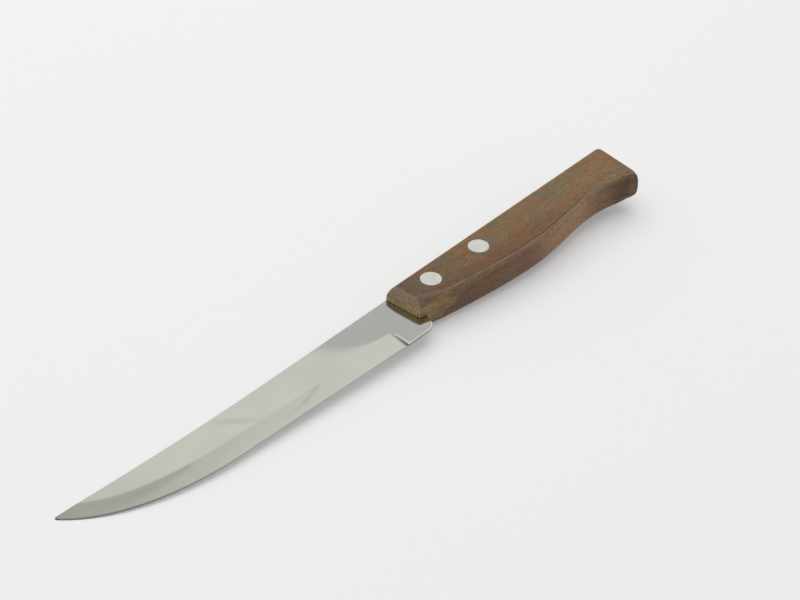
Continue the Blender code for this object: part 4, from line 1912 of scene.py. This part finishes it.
    def scratch(self, points: np.ndarray, row: Sequence[Point]) -> np.ndarray:
        """Return the strength of the thin dark line of painted shade that follows the upper crease on its
        belly side.

        Args:
            points: Drawing points, one to a row.
            row: Row of points on the upper flat that the painted shade follows.

        Returns:
            One value to a point.
        """
        apart = np.linalg.norm(points[:, None] - np.array(row)[None], axis=2).min(axis=1)
        start, end = self.crease_shade_ends
        middle, reach = (start + end) / 2, (end - start) / 2
        fade = np.clip(2.0 - 2.0 * np.abs(points[:, 0] - middle) / reach, 0.0, 1.0)
        return (apart < self.tolerance) * (points[:, 1] < 0.0) * fade

    def slot_cutter(self, blade: Blade) -> Item:
        """Return the cutter of the sawn slot, open at the front and along the spine.

        Args:
            blade: The blade whose tang goes into the slot.

        Returns:
            A closed cutter.
        """
        gap = self.slot_clearance
        mouth = blade.tab_insertion + gap
        tang_depth = blade.tang_depth + gap
        outside = -self.butt_depth - self.cut_overshoot
        above = self.spine_height + self.cut_overshoot
        radius = blade.tang_corner_radius + gap
        rear = blade.tang_length + gap
        marks = [(-self.cut_overshoot, outside), (mouth, outside),
                 (mouth, blade.tab_corner_radius - blade.tab_depth - gap),
                 (mouth + blade.shoulder_run, -tang_depth)]
        for turn in quarter_turns(self.corner_steps):
            y = radius - tang_depth - radius * math.cos(turn)
            marks.append((rear - radius + radius * math.sin(turn), y))
        marks += [(rear, above), (-self.cut_overshoot, above)]
        half = blade.stock / 2 + gap
        return object_from_bmesh("tang_slot", loft([[(x, y, z) for x, y in marks] for z in (-half, half)]))

    def build(self, blade: Blade, bores: Sequence[Item]) -> Item:
        """Build and dress the handle, saw its slot and drill it.

        Args:
            blade: The blade whose tang goes into the slot.
            bores: Closed cutters for the rivet holes, which are used up.

        Returns:
            The finished piece.
        """
        item = self.body()
        self.dress(item)
        cut(item, [self.slot_cutter(blade), *bores])
        shade(item, self.sharp_angle)
        self.datum.place(item)
        return item

    def dress(self, item: Item) -> None:
        """Give the handle its wood, with the raw nose at the handle's own front."""
        wood = OiledHardwood(nose=self.datum.front, belly=self.datum.rivet_line, middle=self.datum.middle,
                             length=self.length * MM)
        item.data.materials.append(wood.material())


@dataclass
class RivetRow:
    """The flush rivets, each pressed together from a solid pin and a hollow tube.

    Attributes:
        datum: Where the drawing sits.
        start: Place of the front rivet along the handle.
        pitch: Distance from the front rivet to the rear one.
        head_radius: Radius of both heads.
        half_height: Distance of a head's face from the middle.
        pin_end: Height of the pin's lower end.
        tube_rim: Height of the tube's upper end.
    """

    datum: Datum
    start: float
    pitch: float
    head_radius: float
    half_height: float
    pin_end: float
    tube_rim: float
    count: int = 2
    head_thickness: float = 1.5
    head_chamfer: float = 0.10
    head_dome: float = 0.03
    pin_radius: float = 1.2
    pin_gap: float = 0.2
    tube_wall: float = 0.7
    tube_floor: float = 2.0
    hole_gap: float = 0.03
    bore_gap: float = 0.2
    cut_overshoot: float = 4.0
    sharp_angle: float = 25.0
    turn_steps: int = 72
    dome_steps: int = 5

    @classmethod
    def from_frame(cls, datum: Datum) -> RivetRow:
        """Take the rivets' places and sizes from their nodes.

        Args:
            datum: Where the drawing sits.

        Returns:
            The row of rivets.
        """
        pin_low, pin_high = (datum.drawn(corner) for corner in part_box("front_rivet_pin"))
        rear_low, rear_high = (datum.drawn(corner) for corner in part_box("rear_rivet_pin"))
        tube_high = datum.drawn(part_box("front_rivet_tube")[1])
        start = (pin_low.x + pin_high.x) / 2
        return cls(datum=datum, start=start, pitch=(rear_low.x + rear_high.x) / 2 - start,
                   head_radius=(pin_high.x - pin_low.x) / 2, half_height=pin_high.z,
                   pin_end=pin_low.z, tube_rim=tube_high.z)

    @property
    def tube_radius(self) -> float:
        """Outer radius of the tube."""
        return self.pin_radius + self.pin_gap + self.tube_wall

    def head(self) -> list[Pair]:
        """Return a head's profile from the middle of its faintly domed face down to its shoulder.

        Returns:
            Pairs of a radius and a height.
        """
        rim = self.head_radius - self.head_chamfer
        profile = []
        for step in range(self.dome_steps + 1):
            share = step / self.dome_steps
            profile.append((rim * share, self.half_height - self.head_dome * share ** 2))
        low = self.half_height - self.head_dome - self.head_chamfer
        shoulder = self.half_height - self.head_thickness
        return profile + [(self.head_radius, low), (self.head_radius, shoulder)]

    def profile(self, half: Half) -> list[Pair]:
        """Return the turned profile of one half of a rivet, with its head up.

        Args:
            half: Which half.

        Returns:
            Pairs of a radius and a height.
        """
        shoulder = self.half_height - self.head_thickness
        if half is Half.PIN:
            return self.head() + [(self.pin_radius, shoulder), (self.pin_radius, self.pin_end),
                                  (0.0, self.pin_end)]
        bore = self.pin_radius + self.pin_gap
        floor = self.half_height - self.tube_floor
        return self.head() + [(self.tube_radius, shoulder), (self.tube_radius, -self.tube_rim),
                              (bore, -self.tube_rim), (bore, floor), (0.0, floor)]

    def bores(self, name: str) -> list[Item]:
        """Return closed cutters for the stepped holes that the rivets fill.

        Args:
            name: Start of the cutters' names.

        Returns:
            One cutter to a rivet.
        """
        recess = self.head_radius + self.hole_gap
        bore = self.tube_radius + self.bore_gap
        floor = self.half_height - self.head_thickness - self.bore_gap
        outside = self.half_height + self.cut_overshoot
        profile = [(0.0, outside), (recess, outside), (recess, floor), (bore, floor), (bore, -floor),
                   (recess, -floor), (recess, -outside), (0.0, -outside)]
        cutters = []
        for order in range(self.count):
            cutter = turned(f"{name}_bore_{order}", profile, self.turn_steps)
            cutter.data.transform(Matrix.Translation((self.start + order * self.pitch, 0.0, 0.0)))
            cutters.append(cutter)
        return cutters

    def row_tree(self) -> bpy.types.NodeTree:
        """Build the node tree that sets a rivet on each point of a row.

        Returns:
            The tree, with named inputs for its sizes.
        """
        tree = bpy.data.node_groups.new("rivet_row", "GeometryNodeTree")
        sockets = tree.interface
        sockets.new_socket("Geometry", in_out="OUTPUT", socket_type="NodeSocketGeometry")
        kinds = {"Geometry": "Geometry", "Rivet": "Object", "Count": "Int", "Start": "Vector",
                 "Pitch": "Float", "Finish": "Material"}
        for name, kind in kinds.items():
            sockets.new_socket(name, in_out="INPUT", socket_type="NodeSocket" + kind)
        graph = NodeGraph(tree)
        given = graph.add("NodeGroupInput").outputs
        step = graph.add("ShaderNodeCombineXYZ", None, {"X": given["Pitch"]}).outputs[0]
        row = graph.add("GeometryNodeMeshLine", {"mode": "OFFSET", "count_mode": "TOTAL"},
                        {"Count": given["Count"], "Start Location": given["Start"], "Offset": step})
        rivet = graph.add("GeometryNodeObjectInfo", None, {"Object": given["Rivet"]})
        copies = graph.add("GeometryNodeInstanceOnPoints", None,
                           {"Points": row.outputs[0], "Instance": rivet.outputs["Geometry"]})
        real = graph.add("GeometryNodeRealizeInstances", None, {"Geometry": copies.outputs[0]})
        finished = graph.add("GeometryNodeSetMaterial", None,
                             {"Geometry": real.outputs[0], "Material": given["Finish"]})
        graph.add("NodeGroupOutput", None, {"Geometry": finished.outputs[0]})
        return tree

    def build(self, half: Half, tree: bpy.types.NodeTree, finish: bpy.types.Material) -> Item:
        """Build both rivets' halves of one kind as one piece.

        Args:
            half: Which half.
            tree: Node tree of the row.
            finish: Material of the rivets.

        Returns:
            The finished piece.
        """
        model = turned(f"{half.value}_model", self.profile(half), self.turn_steps)
        if half is Half.TUBE:
            model.data.transform(Matrix.Rotation(math.pi, 4, "X"))
        item = object_from_bmesh(f"rivet_{half.value}s", bmesh.new())
        row = item.modifiers.new("row", "NODES")
        row.node_group = tree
        values = {"Rivet": model, "Count": self.count, "Start": (self.start, 0.0, 0.0), "Pitch": self.pitch,
                  "Finish": finish}
        for socket in tree.interface.items_tree:
            if socket.in_out == "INPUT" and socket.name in values:
                row[socket.identifier] = values[socket.name]
        settle(item)
        discard([model])
        shade(item, self.sharp_angle)
        self.datum.place(item)
        return item


@dataclass
class Studio:
    """Pale floor, soft light and the camera.

    Attributes:
        datum: Where the knife's drawing sits.
        rivet_face: Middle of the front rivet's upper face, in frame metres; the camera is set out from it.
        blade: The blade, whose point touches the floor.
    """

    datum: Datum
    rivet_face: Vector
    blade: Blade
    contact: float = 1.0
    floor_side: float = 8.0
    lens: float = 112.5
    sensor: float = 36.0
    camera_azimuth: float = -49.885
    camera_elevation: float = 37.551
    camera_roll: float = 1.38
    camera_distance: float = 0.70923
    camera_aim: Point = (-13.67e-3, -0.12e-3, 0.0)
    ceiling_size: float = 1.6
    ceiling_power: float = 9.5
    ceiling_place: Point = (0.15, 0.45, 1.10)
    ambient_behind: float = 0.68
    ambient_before: float = 0.42
    ambient_spread: float = 0.8
    axis_behind: Point = (0.765, 0.644, 0.0)
    wall: float = 0.88
    wall_dim: float = 0.50
    wall_base: float = 1.65
    wall_slope: Point = (1.525, 0.0, -2.31)
    wall_foot: float = 0.92
    wall_foot_heights: Pair = (0.626, 0.655)

    def back(self) -> Vector:
        """Return the direction from the knife to the camera."""
        turn, lift = math.radians(self.camera_azimuth), math.radians(self.camera_elevation)
        return Vector((math.sin(turn) * math.cos(lift), -math.cos(turn) * math.cos(lift), math.sin(lift)))

    def add_camera(self) -> None:
        """Set the camera at the photograph's viewing angle."""
        data = bpy.data.cameras.new("camera")
        data.lens = self.lens
        data.sensor_width = self.sensor
        camera = add_object("camera", data)
        aim = self.rivet_face + Vector(self.camera_aim)
        turn = (-self.back()).to_track_quat("-Z", "Y").to_matrix().to_4x4()
        roll = Matrix.Rotation(math.radians(self.camera_roll), 4, "Z")
        camera.matrix_world = Matrix.Translation(aim + self.back() * self.camera_distance) @ turn @ roll
        bpy.context.scene.camera = camera

    def add_floor(self) -> None:
        """Lay the floor under the point and the handle's front, where the knife rests."""
        front = self.datum.front + self.contact * MM
        point = self.datum.front - self.blade.length * MM
        tilt = math.atan2(self.datum.middle, front - point)
        shape = bmesh.new()
        bmesh.ops.create_grid(shape, x_segments=1, y_segments=1, size=self.floor_side / 2)
        floor = object_from_bmesh("floor", shape)
        floor.data.transform(Matrix.Translation((front, 0.0, 0.0)) @ Matrix.Rotation(tilt, 4, "Y"))
        floor.data.materials.append(PaleBoard().material())

    def add_ceiling(self) -> None:
        """Hang a large soft lamp above, a little to the spine side."""
        data = bpy.data.lights.new("ceiling", "AREA")
        data.shape = "SQUARE"
        data.size = self.ceiling_size
        data.energy = self.ceiling_power
        lamp = add_object("ceiling", data)
        lamp.matrix_world = Matrix.Translation(self.ceiling_place)
        lamp.visible_glossy = False

    def add_world(self) -> None:
        """Light the tent from its walls, paler behind the knife, and show the walls to camera and metal."""
        world = bpy.data.worlds.new("tent")
        bpy.context.scene.world = world
        world.use_nodes = True
        graph = NodeGraph(world.node_tree)
        direction = graph.add("ShaderNodeTexCoord").outputs["Generated"]
        height = graph.parts(direction)["Z"]
        behind = graph.dot(direction, self.axis_behind)
        ambient = graph.ramp(behind, -self.ambient_spread, self.ambient_spread,
                             self.ambient_before, self.ambient_behind)
        fall = graph.dot(direction, self.wall_slope)
        sheet = graph.math("MAXIMUM", graph.math("ADD", fall, self.wall_base), self.wall_dim)
        foot = graph.ramp(height, *self.wall_foot_heights, self.wall_foot, 1.0)
        shown = graph.times(graph.math("MINIMUM", sheet, self.wall), foot)
        level = graph.mix(graph.seen(), ambient, shown)
        light = graph.add("ShaderNodeBackground", None, {"Color": WHITE, "Strength": level})
        graph.add("ShaderNodeOutputWorld", None, {"Surface": light.outputs[0]})

    def build(self) -> None:
        """Set up the whole studio."""
        bpy.context.scene.view_settings.view_transform = "Standard"
        self.add_camera()
        self.add_floor()
        self.add_ceiling()
        self.add_world()


def attach(piece: Item, nodes: Sequence[str]) -> None:
    """Let a finished piece ride on the knife's body in place of its nodes.

    Args:
        piece: The finished piece.
        nodes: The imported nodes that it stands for.
    """
    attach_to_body(piece, BODY)
    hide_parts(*nodes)
    LOG.info("%s stands for %s with %d faces", piece.name, ", ".join(nodes), len(piece.data.polygons))


def main() -> None:
    """Build the knife and its studio."""
    logging.basicConfig(level=logging.INFO)
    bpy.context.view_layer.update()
    datum = Datum.from_frame()
    blade = Blade.from_frame(datum)
    handle = Handle.from_frame(datum)
    rivets = RivetRow.from_frame(datum)

    pin_low, pin_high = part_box("front_rivet_pin")
    rivet_face = Vector(((pin_low.x + pin_high.x) / 2, datum.rivet_line, pin_high.z))
    Studio(datum, rivet_face, blade).build()

    steel = blade.build(rivets.bores("blade"))
    attach(steel, ["blade"])

    wood = handle.build(blade, rivets.bores("handle"))
    attach(wood, ["handle"])

    row_tree = rivets.row_tree()
    aluminium = SatinAluminium().material()
    for half in Half:
        piece = rivets.build(half, row_tree, aluminium)
        attach(piece, [f"{end}_rivet_{half.value}" for end in ("front", "rear")])


if __name__ == "__main__":
    main()
